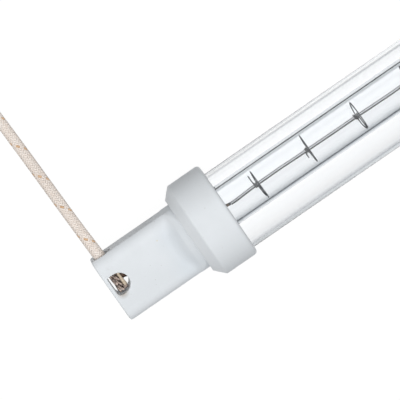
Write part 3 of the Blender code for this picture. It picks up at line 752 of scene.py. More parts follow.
# two families of yarns wind in opposite ways and pass over two and under two of each other
braidSet = {
    "yarns": 12,              # in each family
    "pitch": 0.01205,         # one turn of a yarn, along the lead
    "yarnWidth": 0.00072,
    "yarnThickness": 0.00018,
    "middleRadius": 0.00162,
    "mouthSwell": 0.08,       # how much the braid opens where it leaves the cap
    "mouthPlace": 0.0050,
    "mouthLength": 0.0080,
    "wave": 0.00010,          # how far a yarn rises and dips as it crosses
    "turned": -13.5,          # degrees that the whole braid is turned about the lead
    "tracerYarn": 9,
    "fineShare": 0.30,        # share of the lead, from the cap, that has rounder yarns
    "sides": (6, 4),          # faces round a yarn there, and beyond it
}


def braidMesh(name, path, run, frames, sides):
    # the closed yarns over one stretch of the lead; run is the length along the lead at each point
    heading, side, over = frames
    pitch, yarns = braidSet["pitch"], braidSet["yarns"]
    flat = np.linspace(0.0, 2 * math.pi, sides, endpoint=False)
    points, faces, marks, tracer = [], [], [], []
    for way in (1, -1):
        for number in range(yarns):
            plain = way * 2 * math.pi * run / pitch + 2 * math.pi * number / yarns
            crossing = 2 * yarns * plain / (2 * math.pi)
            rise = way * np.clip(math.sqrt(2) * np.sin(crossing * math.pi / 2 + math.pi / 4), -1.0, 1.0)
            angle = plain + math.radians(braidSet["turned"])
            swell = np.exp(-((run - braidSet["mouthPlace"]) / braidSet["mouthLength"]) ** 2)
            swell = 1.0 + braidSet["mouthSwell"] * swell
            radius = braidSet["middleRadius"] * swell + braidSet["wave"] * rise
            out = side * np.cos(angle)[:, None] + over * np.sin(angle)[:, None]
            sideways = over * np.cos(angle)[:, None] - side * np.sin(angle)[:, None]
            centre = path + out * radius[:, None]
            going = heading + sideways * (way * 2 * math.pi * braidSet["middleRadius"] / pitch)
            going /= np.linalg.norm(going, axis=1)[:, None]
            width = np.cross(going, out)
            ring = (centre[:, None]
                    + width[:, None] * (np.cos(flat) * braidSet["yarnWidth"] / 2)[None, :, None]
                    + out[:, None] * (np.sin(flat) * braidSet["yarnThickness"] / 2)[None, :, None])
            base = sum(len(part) for part in points)
            points.append(ring.reshape(-1, 3))
            body = ringFaces(len(path), sides) + base
            faces.extend(body.tolist())
            faces.append(list(range(base, base + sides)))
            faces.append(list(range(base + (len(path) - 1) * sides, base + len(path) * sides)))
            tracer.extend([way < 0 and number == braidSet["tracerYarn"]] * (len(body) + 2))
            mark = np.zeros((len(path), sides, 3))
            mark[:, :, 0] = run[:, None] * 1000
            mark[:, :, 1] = np.cos(flat)[None, :]
            mark[:, :, 2] = number + (0 if way > 0 else yarns)
            marks.append(mark.reshape(-1, 3))
    mesh = bpy.data.meshes.new(name)
    mesh.from_pydata(np.concatenate(points).tolist(), [], faces)
    markPoints(mesh, "yarn", np.concatenate(marks))
    mesh.materials.append(ivoryYarn)
    mesh.materials.append(tracerYarn)
    mesh.polygons.foreach_set("material_index", np.array(tracer, np.int32))
    shape = bmesh.new()
    shape.from_mesh(mesh)
    bmesh.ops.recalc_face_normals(shape, faces=shape.faces)
    shape.to_mesh(mesh)
    shape.free()
    mesh.shade_smooth()
    return mesh


# flat woven strap round the coil's turns
tieSet = {
    "corner": 0.0016,            # radius of its corners, as seen along the lead
    "thickness": 0.0003,
    "thread": 0.0005,
    "weave": 0.00005,            # how far the threads rise
    "step": 0.000125,
}


def makeTie():
    # its outside rises and dips with the threads, and its inside is plain
    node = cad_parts["coil_tie"]
    turn = math.radians(leadSet["tieAngle"])
    out = np.array((math.cos(turn), math.sin(turn), 0.0))
    along = np.array((-math.sin(turn), math.cos(turn), 0.0))
    corners = np.array([node.matrix_world @ vertex.co for vertex in node.data.vertices])
    flat = np.stack([corners @ out, corners @ along, corners[:, 2]], axis=1)
    low, high = flat.min(axis=0), flat.max(axis=0)
    rings = []
    lift, corner, step = tieSet["weave"], tieSet["corner"], tieSet["step"]
    outline = rounded([(low[0] + lift, low[2], corner), (high[0] - lift, low[2], corner),
                       (high[0] - lift, high[2] - lift, corner), (low[0] + lift, high[2] - lift, corner)], 12)
    outline = spaced(np.concatenate([outline, outline[:1]]), step)[:-1]
    inner = grownOutline(outline, -tieSet["thickness"] + lift)
    threads = round(len(outline) * step / (2 * tieSet["thread"]))
    run = np.arange(len(outline)) * 2 * math.pi * threads / len(outline)
    count = int((high[1] - low[1]) / step) + 1
    for place in np.linspace(low[1], high[1], count):
        over = np.cos(run) * math.cos(math.pi * (place - low[1]) / tieSet["thread"])
        edge = min(place - low[1], high[1] - place) < 1e-6
        rise = 0 * run if edge else lift * over
        middle = (outline + inner) / 2
        spoke = (outline - middle) / np.linalg.norm(outline - middle, axis=1)[:, None]
        ring = outline + spoke * rise[:, None]
        ring[:, 1] = np.maximum(ring[:, 1], 0.0)
        rings.append(ring[:, :1] * out + place * along + ring[:, 1:] * np.array((0.0, 0.0, 1.0)))
    for place in np.linspace(high[1], low[1], 8):
        rings.append(inner[:, :1] * out + place * along + inner[:, 1:] * np.array((0.0, 0.0, 1.0)))
    return showPiece("tie", closedTube("tie", rings, 60.0), tape, ("coil_tie",))


# crimped ring terminal, in metres from the end of the lead
terminalSet = {
    "start": 0.0003,
    "barrelEnd": 0.0041,
    "flatStart": 0.0056,
    "radius": 0.0017,
    "bore": 0.00115,
    "boreEnd": 0.0034,
    "edge": 0.00018,
    "plate": 0.0008,
    "eyeStation": 0.0102,
    "eyeRadius": 0.0037,
    "hole": 0.00215,
    "crimps": (0.00145, 0.00300),
    "crimpDepth": 0.00050,
    "crimpSize": 0.00050,
    "crimpWidth": 0.0008,
    "squareness": 5.0,           # of the neck where it's flat
    "neckShort": 0.0022,         # the neck ends this far short of the eye's middle
    "soft": 0.00012,             # size of the worn edges
    "step": 0.0001,
    "conductor": 0.00095,        # of all the strands together
    "bareFrom": -0.0010,
    "bareShort": 0.0002,         # the strands end this far short of the bore's end
    "strandTwist": 500.0,        # radians a metre
}


def makeTerminal():
    edge, plate = terminalSet["edge"], terminalSet["plate"]
    soft, step = terminalSet["soft"], terminalSet["step"]
    heading = leadLine[-1] - leadLine[-6]
    heading /= np.linalg.norm(heading)
    aside = np.array((-heading[1], heading[0], 0.0))
    up = np.array((0.0, 0.0, 1.0))
    drop = plate / 2 - terminalSet["radius"]

    def placed(points):
        points = np.asarray(points)
        return leadLine[-1] + points[..., :1] * heading + points[..., 1:2] * aside + points[..., 2:] * up

    around = 72
    angle = 2 * math.pi * (np.arange(around) + 0.5) / around
    rings = []
    for station in [terminalSet["boreEnd"], terminalSet["start"] + edge, terminalSet["start"]]:
        bore = terminalSet["bore"] + (soft if station == terminalSet["start"] else 0.0)
        rings.append(np.stack([0 * angle + station, bore * np.cos(angle), bore * np.sin(angle)], axis=1))
    outside = [terminalSet["start"] + edge * (1 - math.cos(turn))
               for turn in np.linspace(0.0, math.pi / 2, 5)]
    outside += list(np.arange(outside[-1] + step, terminalSet["eyeStation"] - terminalSet["neckShort"], step))
    for station in outside:
        share = (station - terminalSet["barrelEnd"]) / (terminalSet["flatStart"] - terminalSet["barrelEnd"])
        share = eased(clamped(share))
        power = 2.0 / (2.0 + terminalSet["squareness"] * share)
        wide = terminalSet["radius"] - endRounding(edge, station - terminalSet["start"])
        tall = wide * (1 - share) + plate / 2 * share
        c, s = np.cos(angle), np.sin(angle)
        y = wide * np.copysign(np.abs(c) ** power, c)
        z = drop * share + tall * np.copysign(np.abs(s) ** power, s)
        for crimp in terminalSet["crimps"]:
            deep = terminalSet["crimpDepth"] * math.exp(-((station - crimp) / terminalSet["crimpSize"]) ** 2)
            z = z - deep * np.exp(-(y / terminalSet["crimpWidth"]) ** 2) * (z > 0)
        rings.append(np.stack([0 * angle + station, y, z], axis=1))
    body = cappedTube("terminal", placed(rings))
    circle = np.linspace(0.0, 2 * math.pi, 96, endpoint=False)

    def disc(radius, profile):
        # rings round the eye for (how much wider, height) pairs
        wider = [(radius + grow, drop + height) for grow, height in profile]
        return cappedTube("disc", placed([np.stack([
            terminalSet["eyeStation"] + wide * np.cos(circle), wide * np.sin(circle), 0 * circle + height,
        ], axis=1) for wide, height in wider]))

    half, less = plate / 2, 0.3 * soft
    beyond = half + 0.0005
    eye = disc(terminalSet["eyeRadius"], [
        (-soft, -half), (-less, -half + less), (0.0, -half + soft),
        (0.0, half - soft), (-less, half - less), (-soft, half),
    ])
    hole = disc(terminalSet["hole"], [
        (soft, -beyond), (soft, -half), (0.0, -half + soft),
        (0.0, half - soft), (soft, half), (soft, beyond),
    ])
    mesh = carved("terminal", body, [("UNION", eye), ("DIFFERENCE", hole)])
    piece = showPiece("terminal", mesh, tinned, ("ring_terminal",))
    stations = np.linspace(terminalSet["bareFrom"], terminalSet["boreEnd"] - terminalSet["bareShort"], 12)
    wires = []
    for number in range(7):
        turn = 2 * math.pi * number / 6 + stations * terminalSet["strandTwist"]
        reach = 0.0 if number == 6 else terminalSet["conductor"] * 2 / 3
        path = placed(np.stack([stations, reach * np.cos(turn), reach * np.sin(turn)], axis=1))
        mesh = cappedTube("conductor", sweptRings(path, np.full(len(path), terminalSet["conductor"] / 3), 12))
        wires.append(showPiece("conductor_%d" % (number + 1), mesh, tinned, ()))
    return [piece, *wires]


def makeLead():
    core = cappedTube("lead_core", sweptRings(leadLine, leadSet["coreDiameter"] / 2, 16))
    core = showPiece("lead_core", core, leadCore, ("lead", "lead_coil", "lead_tail"))
    frames = framesAlong(leadLine)
    run = np.arange(len(leadLine)) * leadLength / (len(leadLine) - 1)
    straight = int(len(leadLine) * braidSet["fineShare"])
    fine, plain = braidSet["sides"]
    for name, first, last, sides in (("lead_braid", 0, straight + 1, fine),
                                     ("coil_braid", straight, len(leadLine), plain)):
        chosen = tuple(part[first:last] for part in frames)
        mesh = braidMesh(name, leadLine[first:last], run[first:last], chosen, sides)
        placePiece(name, mesh, ())
    makeTie()
    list(makeTerminal())


makeLead()


# the D-shaped window through the tab
windowSet = {
    "endWall": 0.00125,
    "width": 0.0058,
    "height": 0.0070,
    "corners": (0.0015, 0.0005),
    "rim": 0.00035,              # radius of the soft edge round it
    "lean": 0.0009,              # how far it leans from its upper to its lower mouth
    "overrun": 0.002,
    "steps": 20,
}

# the hole in the tab's side for the lead, and the one along the lamp for the pin
wireHole = {
    "radius": 0.0031,
    "station": 0.00425,
    "rim": 0.00040,
    "overrun": 0.002,
    "pinRadius": 0.0012,
    "pinStart": 0.0041,
}

# outer tube
jacketSet = {
    "wall": 0.0012,
    "edge": 0.00045,
    "steps": 192,
}

# inner tube, pinched flat at both ends, with a flat channel inside the pinch
envelopeSet = {
    "radius": (envelopeHigh.z - envelopeLow.z) / 2,
    "wall": 0.0012,
    "pinchStart": lampEnd + envelopeLow.x,
    "pinchLength": 0.0125,
    "pinchSize": (0.0160, 0.0036),
    "channelSize": (0.0052, 0.0020),
    "shoulder": 0.0050,          # length over which the pinch turns into the round tube
    "squareness": 6.0,           # of the pinch
    "steps": 144,
}


def tabHeight(across):
    # half the tab's thickness at a place across it
    edge = capSet["edgeRadius"]
    drop = capSet["tabThickness"] / 2 - edge
    level = capSet["tabWidth"] / 2 - math.sqrt(edge ** 2 - (capSet["sideHeight"] / 2 - drop) ** 2)
    return drop + math.sqrt(edge ** 2 - max(abs(across) - level, 0.0) ** 2)


def flaredHeight(across, crown):
    # the same where the flare arches over the tab; crown is the arch's height in the middle
    plain = tabHeight(across)
    drop, blend = capSet["flareDrop"], capSet["flareBlend"]
    bar = math.hypot(capSet["tabWidth"], capSet["sideHeight"]) / 2
    arch = math.sqrt(max((crown + drop) ** 2 - across ** 2, 0.0)) - drop
    arch = min(arch, math.sqrt(max(bar ** 2 - across ** 2, 0.0)))
    overlap = max(blend - abs(arch - plain), 0.0)
    return max(arch, plain) + overlap ** 2 / (4 * blend)


def tabRing(station, side, crown):
    # one cross-section of the tab; a crown of 0 leaves out the flare
    half = capSet["tabWidth"] / 2
    squeeze = 1.0 - endRounding(capSet["corner"], station) / half
    upper = []
    for step in range(capSet["tabSteps"] + 1):
        across = -half * math.cos(math.pi * step / capSet["tabSteps"])
        height = flaredHeight(across, crown) if crown else tabHeight(across)
        upper.append((across * squeeze, height - endRounding(capSet["endEdge"], station)))
    ring = upper + [(across, -height) for across, height in reversed(upper)]
    return [(side * (station - lampEnd), across, axisHeight + up) for across, up in ring]


def tabMesh(side):
    corner = capSet["corner"]
    turn = np.linspace(0.0, math.pi / 2, 13)
    rings = [tabRing(corner * (1.0 - math.cos(angle)), side, 0.0) for angle in turn]
    foot = capSet["tabThickness"] / 2 - capSet["flareBlend"]
    level = capSet["foot"][0] - capSet["foot"][1]
    line = rounded([
        (level, foot, 0.0),
        (capSet["foot"][0], foot, capSet["foot"][1]),
        capSet["bend"],
        (capSet["chamferStart"] - capSet["seatGap"], capSet["bossHeight"], 0.0),
        (capSet["chamferStart"] + capSet["bossReach"], capSet["bossHeight"], 0.0),
    ], 18)
    rings += [tabRing(station, side, crown) for station, crown in spaced(line, capSet["flareStep"])]
    return cappedTube("tab", rings)


def collarMesh(side):
    radius = capSet["collarRadius"]
    line = rounded([
        (0.0, capLength, 0.0),
        (radius, capLength, capSet["frontEdge"]),
        (radius, capSet["chamferEnd"], capSet["backEdge"]),
        (radius - capSet["chamferDepth"], capSet["chamferStart"], 0.0),
        (0.0, capSet["chamferStart"], 0.0),
    ], 12)
    rings = alongLamp(line, side, 0.0, capSet["steps"])
    return solidMesh("collar", rings, ringFaces(len(line), capSet["steps"]))


def envelopeRing(station, side, margin, bore, steps):
    # one cross-section of the envelope, of its outside or its bore, grown by a margin
    start = envelopeSet["pinchStart"] + envelopeSet["pinchLength"]
    share = eased(clamped((station - start) / envelopeSet["shoulder"]))
    flat = envelopeSet["channelSize" if bore else "pinchSize"]
    radius = envelopeSet["radius"] - (envelopeSet["wall"] if bore else 0.0)
    width = flat[0] / 2 * (1.0 - share) + radius * share + margin
    height = flat[1] / 2 * (1.0 - share) + radius * share + margin
    power = 2.0 / (envelopeSet["squareness"] * (1.0 - share) + 2.0 * share)
    angle = 2 * math.pi * (np.arange(steps) + 0.5) / steps
    across = np.copysign(np.abs(np.cos(angle)) ** power, np.cos(angle))
    up = np.copysign(np.abs(np.sin(angle)) ** power, np.sin(angle))
    return np.stack([
        np.full(steps, side * (station - lampEnd)), envelopeShift + width * across, axisHeight + height * up,
    ], axis=1)


def envelopeStations(steps):
    start = envelopeSet["pinchStart"] + envelopeSet["pinchLength"]
    return [envelopeSet["pinchStart"], *np.linspace(start, start + envelopeSet["shoulder"], steps)]


def windowMesh(side):
    half, low = windowSet["height"] / 2, windowSet["endWall"] - lampEnd
    outline = rounded([
        (0.0, -half, windowSet["corners"][0]),
        (windowSet["width"], -half, half - 1e-6),
        (windowSet["width"], half, half - 1e-6),
        (0.0, half, windowSet["corners"][1]),
    ], windowSet["steps"])
    rim, top = windowSet["rim"], capSet["tabThickness"] / 2
    down = [rim * (1.0 - math.sin(angle)) for angle in np.linspace(0.0, math.pi / 2, 8)]
    heights = [(top + windowSet["overrun"], rim)]
    heights += [(top - depth, endRounding(rim, depth)) for depth in reversed(down)]
    heights += [(-height, grow) for height, grow in reversed(heights)]
    rings = []
    for height, grow in heights:
        grown = grownOutline(outline, grow)
        across = envelopeShift - windowSet["lean"] * clamped((top - height) / (2 * top))
        rings.append([(side * (x + low), across + y, axisHeight + height) for x, y in grown])
    return cappedTube("window", rings)


def wireHoleMesh(side):
    mouth, rim = capSet["tabWidth"] / 2, wireHole["rim"]
    depths = [rim * (1.0 - math.sin(angle)) for angle in np.linspace(0.0, math.pi / 2, 8)]
    line = [(wireHole["radius"], envelopeShift)]
    line += [(wireHole["radius"] + endRounding(rim, depth), mouth - depth) for depth in depths]
    line.append((wireHole["radius"] + rim, mouth + wireHole["overrun"]))
    angle = np.linspace(0.0, 2 * math.pi, 72, endpoint=False)
    rings = [[(side * (wireHole["station"] - lampEnd) + radius * c, across, axisHeight + radius * s)
              for c, s in zip(np.cos(angle), np.sin(angle))] for radius, across in line]
    return cappedTube("wire_hole", rings)


def makeCaps():
    jacketRadius = (jacketHigh.z - jacketLow.z) / 2
    gap = capSet["seatGap"]
    seatStart = lampEnd + jacketLow.x - gap
    beyond = capLength + capSet["overrun"]
    for suffix, side in lampEnds:
        seat = [(jacketRadius + gap, seatStart), (jacketRadius + gap, beyond)]
        pin = [(wireHole["pinRadius"], station)
               for station in (wireHole["pinStart"], envelopeSet["pinchStart"] + gap)]
        stations = [envelopeSet["pinchStart"] - gap, *envelopeStations(10)[1:], beyond]
        socket = [envelopeRing(station, side, gap, False, 96) for station in stations]
        mesh = carved("ceramic_" + suffix, collarMesh(side), [
            ("UNION", tabMesh(side)),
            ("DIFFERENCE", cappedTube("seat", alongLamp(seat, side, jacketShift, 144))),
            ("DIFFERENCE", cappedTube("socket", socket)),
            ("DIFFERENCE", windowMesh(side)),
            ("DIFFERENCE", wireHoleMesh(side)),
            ("DIFFERENCE", cappedTube("pin_hole", alongLamp(pin, side, envelopeShift, 32))),
        ])
        showPiece("ceramic_" + suffix, mesh, ceramic, ("ceramic_cap_" + suffix,))
        print("cap made:", suffix, len(mesh.polygons), "faces")


makeCaps()


def makeTubes():
    outer = (jacketHigh.z - jacketLow.z) / 2
    inner = outer - jacketSet["wall"]
    start = lampEnd + jacketLow.x
    far = 2 * lampEnd - start
    edge = jacketSet["edge"]
    line = rounded([(outer, far, edge), (outer, start, edge), (inner, start, edge), (inner, far, edge)], 8)
    jacket = closedTube("jacket", alongLamp(line, 1, jacketShift, jacketSet["steps"]))
    showPiece("jacket", jacket, quartz, ("quartz_jacket",))

    rings = []
    for bore in (False, True):
        near, far = ([envelopeRing(station, side, 0.0, bore, envelopeSet["steps"])
                      for station in envelopeStations(16)] for _, side in lampEnds)
        rings.append(near + far[::-1])
    envelope = closedTube("envelope", rings[0] + rings[1][::-1])
    showPiece("envelope", envelope, quartz, ("quartz_envelope",))
    print("tubes made:", len(jacket.polygons) + len(envelope.polygons), "faces")


makeTubes()


# the filament is a fine coil of wire, held by wound supports
filamentSet = {
    "radius": 0.00049,           # of the wire's own middle
    "wire": 0.00020,
    "pitch": 0.000215,
    "stepsPerTurn": 12,
    "around": 6,
    "early": 0.00035,            # how far its ends reach over the rods
    # the coil's painted shade and painted highlight turn with it
    "turned": 13.0,              # degrees that its darkened sides are turned about it
    "softKnot": 0.0020,          # reach to either side over which the sag is evened
    # how far the coil has sagged aside: station from either end of the lamp, and shift across
    "sag": (
        (0.0450, -0.00028), (0.0465, -0.00034), (0.0478, -0.00048), (0.0498, -0.00040), (0.0530, -0.00017),
        (0.0545, -0.00007), (0.0583, -0.00002), (0.0608, 0.00000), (0.0658, 0.00005), (0.0702, -0.00006),
        (0.0795, -0.00018), (0.0858, -0.00025), (0.0936, -0.00025), (0.1014, -0.00038), (0.1077, -0.00046),
        (0.1180, -0.00030), (0.1300, -0.00010), (0.1425, -0.00025),
    ),
}


def sagAt(x):
    # the shift across at places along the lamp, rounded between the knots
    stations, shifts = np.array(filamentSet["sag"]).T
    spread = np.linspace(-filamentSet["softKnot"], filamentSet["softKnot"], 9)
    station = lampEnd - np.abs(np.asarray(x))[..., None] + spread
    return np.interp(station, stations, shifts).mean(axis=-1)


def makeFilament():
    low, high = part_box("filament")
    start = low.x - filamentSet["early"]
    length = high.x - low.x + 2 * filamentSet["early"]
    count = int(length / filamentSet["pitch"] * filamentSet["stepsPerTurn"])
    run = np.linspace(0.0, length, count)
    angle = 2 * math.pi * run / filamentSet["pitch"]
    path = np.stack([
        start + run,
        (low.y + high.y) / 2 + sagAt(start + run) + filamentSet["radius"] * np.cos(angle),
        (low.z + high.z) / 2 + filamentSet["radius"] * np.sin(angle),
    ], axis=1)
    around = filamentSet["around"]
    mesh = cappedTube("coil_wire", sweptRings(path, filamentSet["wire"] / 2, around))
    turned = angle + math.radians(filamentSet["turned"])
    marks = np.stack([np.cos(turned), np.sin(turned), run * 1000], axis=1)
    markPoints(mesh, "coil", np.repeat(marks, around, axis=0))
    showPiece("coil_wire", mesh, tungsten, ("filament",))
    print("filament made:", len(mesh.polygons), "faces")


makeFilament()


def makeStubs():
    # the rods bend a little with the filament that they carry
    for suffix, side in lampEnds:
        low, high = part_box("lead_in_" + suffix)
        start = lampEnd - max(abs(low.x), abs(high.x))
        dome = [stubSet["tip"] - stubSet["radius"] * (1 - math.sin(turn))
                for turn in np.linspace(0.0, 1.5, 7)]
        stations = np.concatenate([np.linspace(start, dome[0] - 0.0001, 24), dome])
        share = np.clip((stations - capLength) / (stubSet["tip"] - capLength), 0.0, 1.0)
        path = np.stack([
            side * (stations - lampEnd),
            envelopeShift - stubSet["drop"] * share,
            np.full(len(stations), axisHeight),
        ], axis=1)
        inward = np.clip((stations - dome[0]) / stubSet["radius"], 0.0, 1.0)
        rings = sweptRings(path, stubSet["radius"] * np.sqrt(1.0 - stubSet["dome"] * inward ** 2), 20)
        showPiece("rod_" + suffix, cappedTube("rod", rings), innerPin, ("lead_in_" + suffix,))
    print("inner rods made")


makeStubs()


# wire supports, each wound on the filament and spread into a ring that rests in the tube
supportSet = {
    "start": 0.0121,             # where the first one stands, from the cap's inner face
    "wire": 0.00037,
    "gripRadius": 0.00078,       # of the close turns on the filament
    "gripTurns": 3,
    "gripPitch": 0.00040,
    "gripUneven": 0.12,
    "gripWander": 0.00012,
    "ringRadius": 0.0050,
    "spreadTurns": 0.30,         # turns from the grip out to the ring
    "ringTurns": 0.87,
    # how each ring is turned, where it stands along the lamp, how it leans as it goes across or up,
    # how it is twisted, how it rests in the tube and where its loose end points
    "kinds": (
        {"roll": 95.0, "shift": 0.00054, "leanAcross": -1.8, "leanUp": 0.4, "twist": -0.014,
         "rest": (-0.00055, 0.0), "tail": (-0.00035, 0.0039)},
        {"roll": 262.0, "shift": 0.00047, "leanAcross": -1.8, "leanUp": -1.0, "twist": 0.0,
         "rest": (0.00005, -0.00045), "tail": (-0.00003, -0.0027)},
        {"roll": 75.0, "shift": 0.00012, "leanAcross": -0.3, "leanUp": 2.5, "twist": -0.022,
         "rest": (-0.00050, -0.00005), "tail": (-0.0003, 0.0009)},
        {"roll": 20.0, "shift": 0.0, "leanAcross": 2.0, "leanUp": -2.0, "twist": 0.02,
         "rest": (0.00010, -0.00045), "tail": (-0.0008, 0.0012)},
        {"roll": 145.0, "shift": 0.0, "leanAcross": -1.5, "leanUp": 3.0, "twist": 0.0,
         "rest": (-0.00025, -0.00040), "tail": (-0.0005, -0.0011)},
    ),
}


def supportPath(kind, middle):
    # the loose end, the grip on the filament, the way out and the ring
    grip, pitch = supportSet["gripTurns"], supportSet["gripPitch"]
    turns = [np.linspace(0.0, grip, 22 * grip, endpoint=False)]
    turns.append(grip + np.linspace(0.0, supportSet["spreadTurns"], 14, endpoint=False))
    turns.append(grip + supportSet["spreadTurns"] + np.linspace(0.0, supportSet["ringTurns"], 64))
    turn = np.concatenate(turns)
    share = np.clip((turn - grip) / supportSet["spreadTurns"], 0.0, 1.0)
    share = eased(share)
    wound = supportSet["gripRadius"] * (1.0 + supportSet["gripUneven"] * np.sin(3.1 * turn + kind["roll"]))
    radius = wound + (supportSet["ringRadius"] - wound) * share
    angle = math.radians(kind["roll"]) + 2 * math.pi * turn
    across = radius * np.cos(angle) + kind["rest"][0] * share + sagAt(middle[0]) * (1.0 - share)
    up = radius * np.sin(angle) + kind["rest"][1] * share
    lean = math.tan(math.radians(kind["leanUp"])) + kind["twist"] * across / supportSet["ringRadius"]
    along = (np.minimum(turn, grip) - grip) * pitch
    along = along + supportSet["gripWander"] * np.sin(5.3 * turn) * (1.0 - share)
    along = along + share * (math.tan(math.radians(kind["leanAcross"])) * across + lean * up)
    coil = np.stack([along, across, up], axis=1)
    tip = np.array((along[0] + kind["tail"][0], kind["tail"][1], up[0]))
    share = np.linspace(0.0, 1.0, 10, endpoint=False)[:, None]
    heading = (coil[1] - coil[0]) / np.linalg.norm(coil[1] - coil[0]) * supportSet["gripRadius"]
    tail = (1 - share) ** 2 * tip + 2 * share * (1 - share) * (coil[0] - heading * 0.8) + share ** 2 * coil[0]
    return np.array(middle) + np.concatenate([tail, coil])


def makeSupports():
    names = sorted(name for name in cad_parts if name.startswith("filament_support_"))
    reach = lampEnd - capLength - supportSet["start"]
    for index, (name, place) in enumerate(zip(names, np.linspace(-reach, reach, len(names)))):
        kind = supportSet["kinds"][index % len(supportSet["kinds"])]
        middle = (place + kind["shift"], envelopeShift, axisHeight)
        mesh = cappedTube("support_wire", sweptRings(supportPath(kind, middle), supportSet["wire"] / 2, 10))
        showPiece("support_wire_%02d" % (index + 1), mesh, supportWire, (name,))
    print("supports made:", len(names))


makeSupports()


# the splice in each window: twisted strands crimped round a core, with a band along one side
spliceSet = {
    "station": 0.00375,
    "coreRadius": 0.00135,
    "length": 0.0072,
    "frayed": 0.0010,            # how far the strands reach past the core
    "strands": 10,
    "strandRadius": 0.00036,
    "strandLine": 0.00148,       # radius at which the strands run
    "strandTwist": 1.5,          # radians over the length
    "strandWander": 8.0,         # degrees
    "strandWaver": 0.00006,      # in and out
    "strandUneven": 0.10,
    # crimp marks: share of the length, degrees round, depth and size
    "dents": ((0.26, 95.0, 0.00050, 0.0009), (0.60, 75.0, 0.00065, 0.0011), (0.45, 265.0, 0.0006, 0.0010)),
    "bandWidth": 0.00115,
    "bandDegrees": 36.0,
    "bandWander": 5.0,
    "bandRise": 0.00012,         # above the strands
    "bandDent": 0.6,             # share of the crimp marks' depth that the band takes
    "bandUneven": 0.12,
    "beadRadius": 0.00028,
    "beadShift": 0.0002,
}


def dentAt(share, degrees):
    # how deep the crimp marks are there
    depth = 0.0
    for centre, turned, deep, size in spliceSet["dents"]:
        off = np.radians((degrees - turned + 180.0) % 360.0 - 180.0) * spliceSet["strandLine"]
        depth = depth + deep * np.exp(-(off ** 2 + ((share - centre) * spliceSet["length"]) ** 2) / size ** 2)
    return depth


def splicePath(side, base, share, degrees, reach):
    # points by share of the splice's length, degrees round it and distance from its middle
    angle = np.radians(degrees)
    return np.stack([
        side * (spliceSet["station"] - lampEnd) + side * reach * np.cos(angle),
        base + share * spliceSet["length"] + 0 * angle, axisHeight + reach * np.sin(angle),
    ], axis=1)


def makeSplices():
    for suffix, side in lampEnds:
        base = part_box("crimp_sleeve_" + suffix)[0].y
        share = np.linspace(0.06, 1.0, 60)
        core = splicePath(side, base, share, 0.0 * share, 0.0 * share)
        core = cappedTube("core", sweptRings(core, np.full(len(core), spliceSet["coreRadius"]), 32), 60.0)
        showPiece("splice_core_" + suffix, core, spliceMetal, ("crimp_sleeve_" + suffix,))
        for number in range(spliceSet["strands"]):
            first = (0.0005 * (number * 3 % 4) / 3 - spliceSet["frayed"]) / spliceSet["length"]
            share = np.linspace(first, 1.0, 70)
            degrees = 360.0 * number / spliceSet["strands"] + np.degrees(spliceSet["strandTwist"]) * share
            degrees = degrees + spliceSet["strandWander"] * np.sin(11 * share + 2.1 * number)
            waver = spliceSet["strandWaver"] * np.sin(13 * share + 1.7 * number)
            reach = spliceSet["strandLine"] + waver - dentAt(share, degrees)
            uneven = spliceSet["strandUneven"] * np.sin(9 * share + 2.3 * number)
            path = splicePath(side, base, share, degrees, reach)
            # the strands' finish holds painted highlights and painted shade
            strand = sweptRings(path, spliceSet["strandRadius"] * (1 + uneven), 12)
            showPiece("strand_%s_%d" % (suffix, number + 1), cappedTube("strand", strand, 60.0),
                      strandMetal, ())
        share = np.linspace(0.04, 1.0, 40)
        degrees = spliceSet["bandDegrees"] + spliceSet["bandWander"] * np.sin(6 * share)
        dent = spliceSet["bandDent"] * dentAt(share, degrees)
        reach = spliceSet["strandLine"] + spliceSet["bandRise"] - dent
        path = splicePath(side, base, share, degrees, reach)
        width = spliceSet["bandWidth"] / 2 * (1 + spliceSet["bandUneven"] * np.sin(8 * share + 1.0))
        band = cappedTube("band", sweptRings(path, width, 18), 60.0)
        showPiece("splice_band_" + suffix, band, bandMetal, ())
        turn = np.linspace(0.0, math.pi, 12)[1:-1]
        size = spliceSet["beadRadius"]
        middle = path[0] + np.array((-side, 0.0, 1.0)) * spliceSet["beadShift"]
        bead = middle + np.stack([0 * turn, -size * np.cos(turn), 0 * turn], axis=1)
        bead = cappedTube("bead", sweptRings(bead, size * np.sin(turn), 14), 60.0)
        showPiece("splice_bead_" + suffix, bead, tinned, ())
    print("splices made")


makeSplices()


# outer pins: flattened where they meet the splice, round where they enter the seal
pinSet = {
    "radius": 0.0007,
    "tongueStart": 0.0050,
    "tongueEnd": 0.0060,
    "roundFrom": 0.0070,
    "lastRing": 0.0072,
    "tongueHalfWidth": 0.00125,
    "tongueHalfHeight": 0.00060,
    "tongueShift": 0.00085,      # towards the lead
}


def makePins():
    for suffix, side in lampEnds:
        low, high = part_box("lead_out_" + suffix)
        inner = lampEnd - min(abs(low.x), abs(high.x))
        stations = [pinSet["tongueStart"], *np.linspace(pinSet["tongueEnd"], pinSet["lastRing"], 10), inner]
        angle = np.linspace(0.0, 2 * math.pi, 32, endpoint=False)
        rings = []
        for station in stations:
            share = (station - pinSet["tongueEnd"]) / (pinSet["roundFrom"] - pinSet["tongueEnd"])
            share = eased(clamped(share))
            wide = pinSet["tongueHalfWidth"] * (1 - share) + pinSet["radius"] * share
            tall = pinSet["tongueHalfHeight"] * (1 - share) + pinSet["radius"] * share
            middle = envelopeShift + pinSet["tongueShift"] * (1 - share)
            rings.append([(side * (station - lampEnd), middle + wide * c, axisHeight + tall * s)
                          for c, s in zip(np.cos(angle), np.sin(angle))])
        showPiece("pin_" + suffix, cappedTube("pin", rings), outerPin, ("lead_out_" + suffix,))
    print("outer pins made")


makePins()


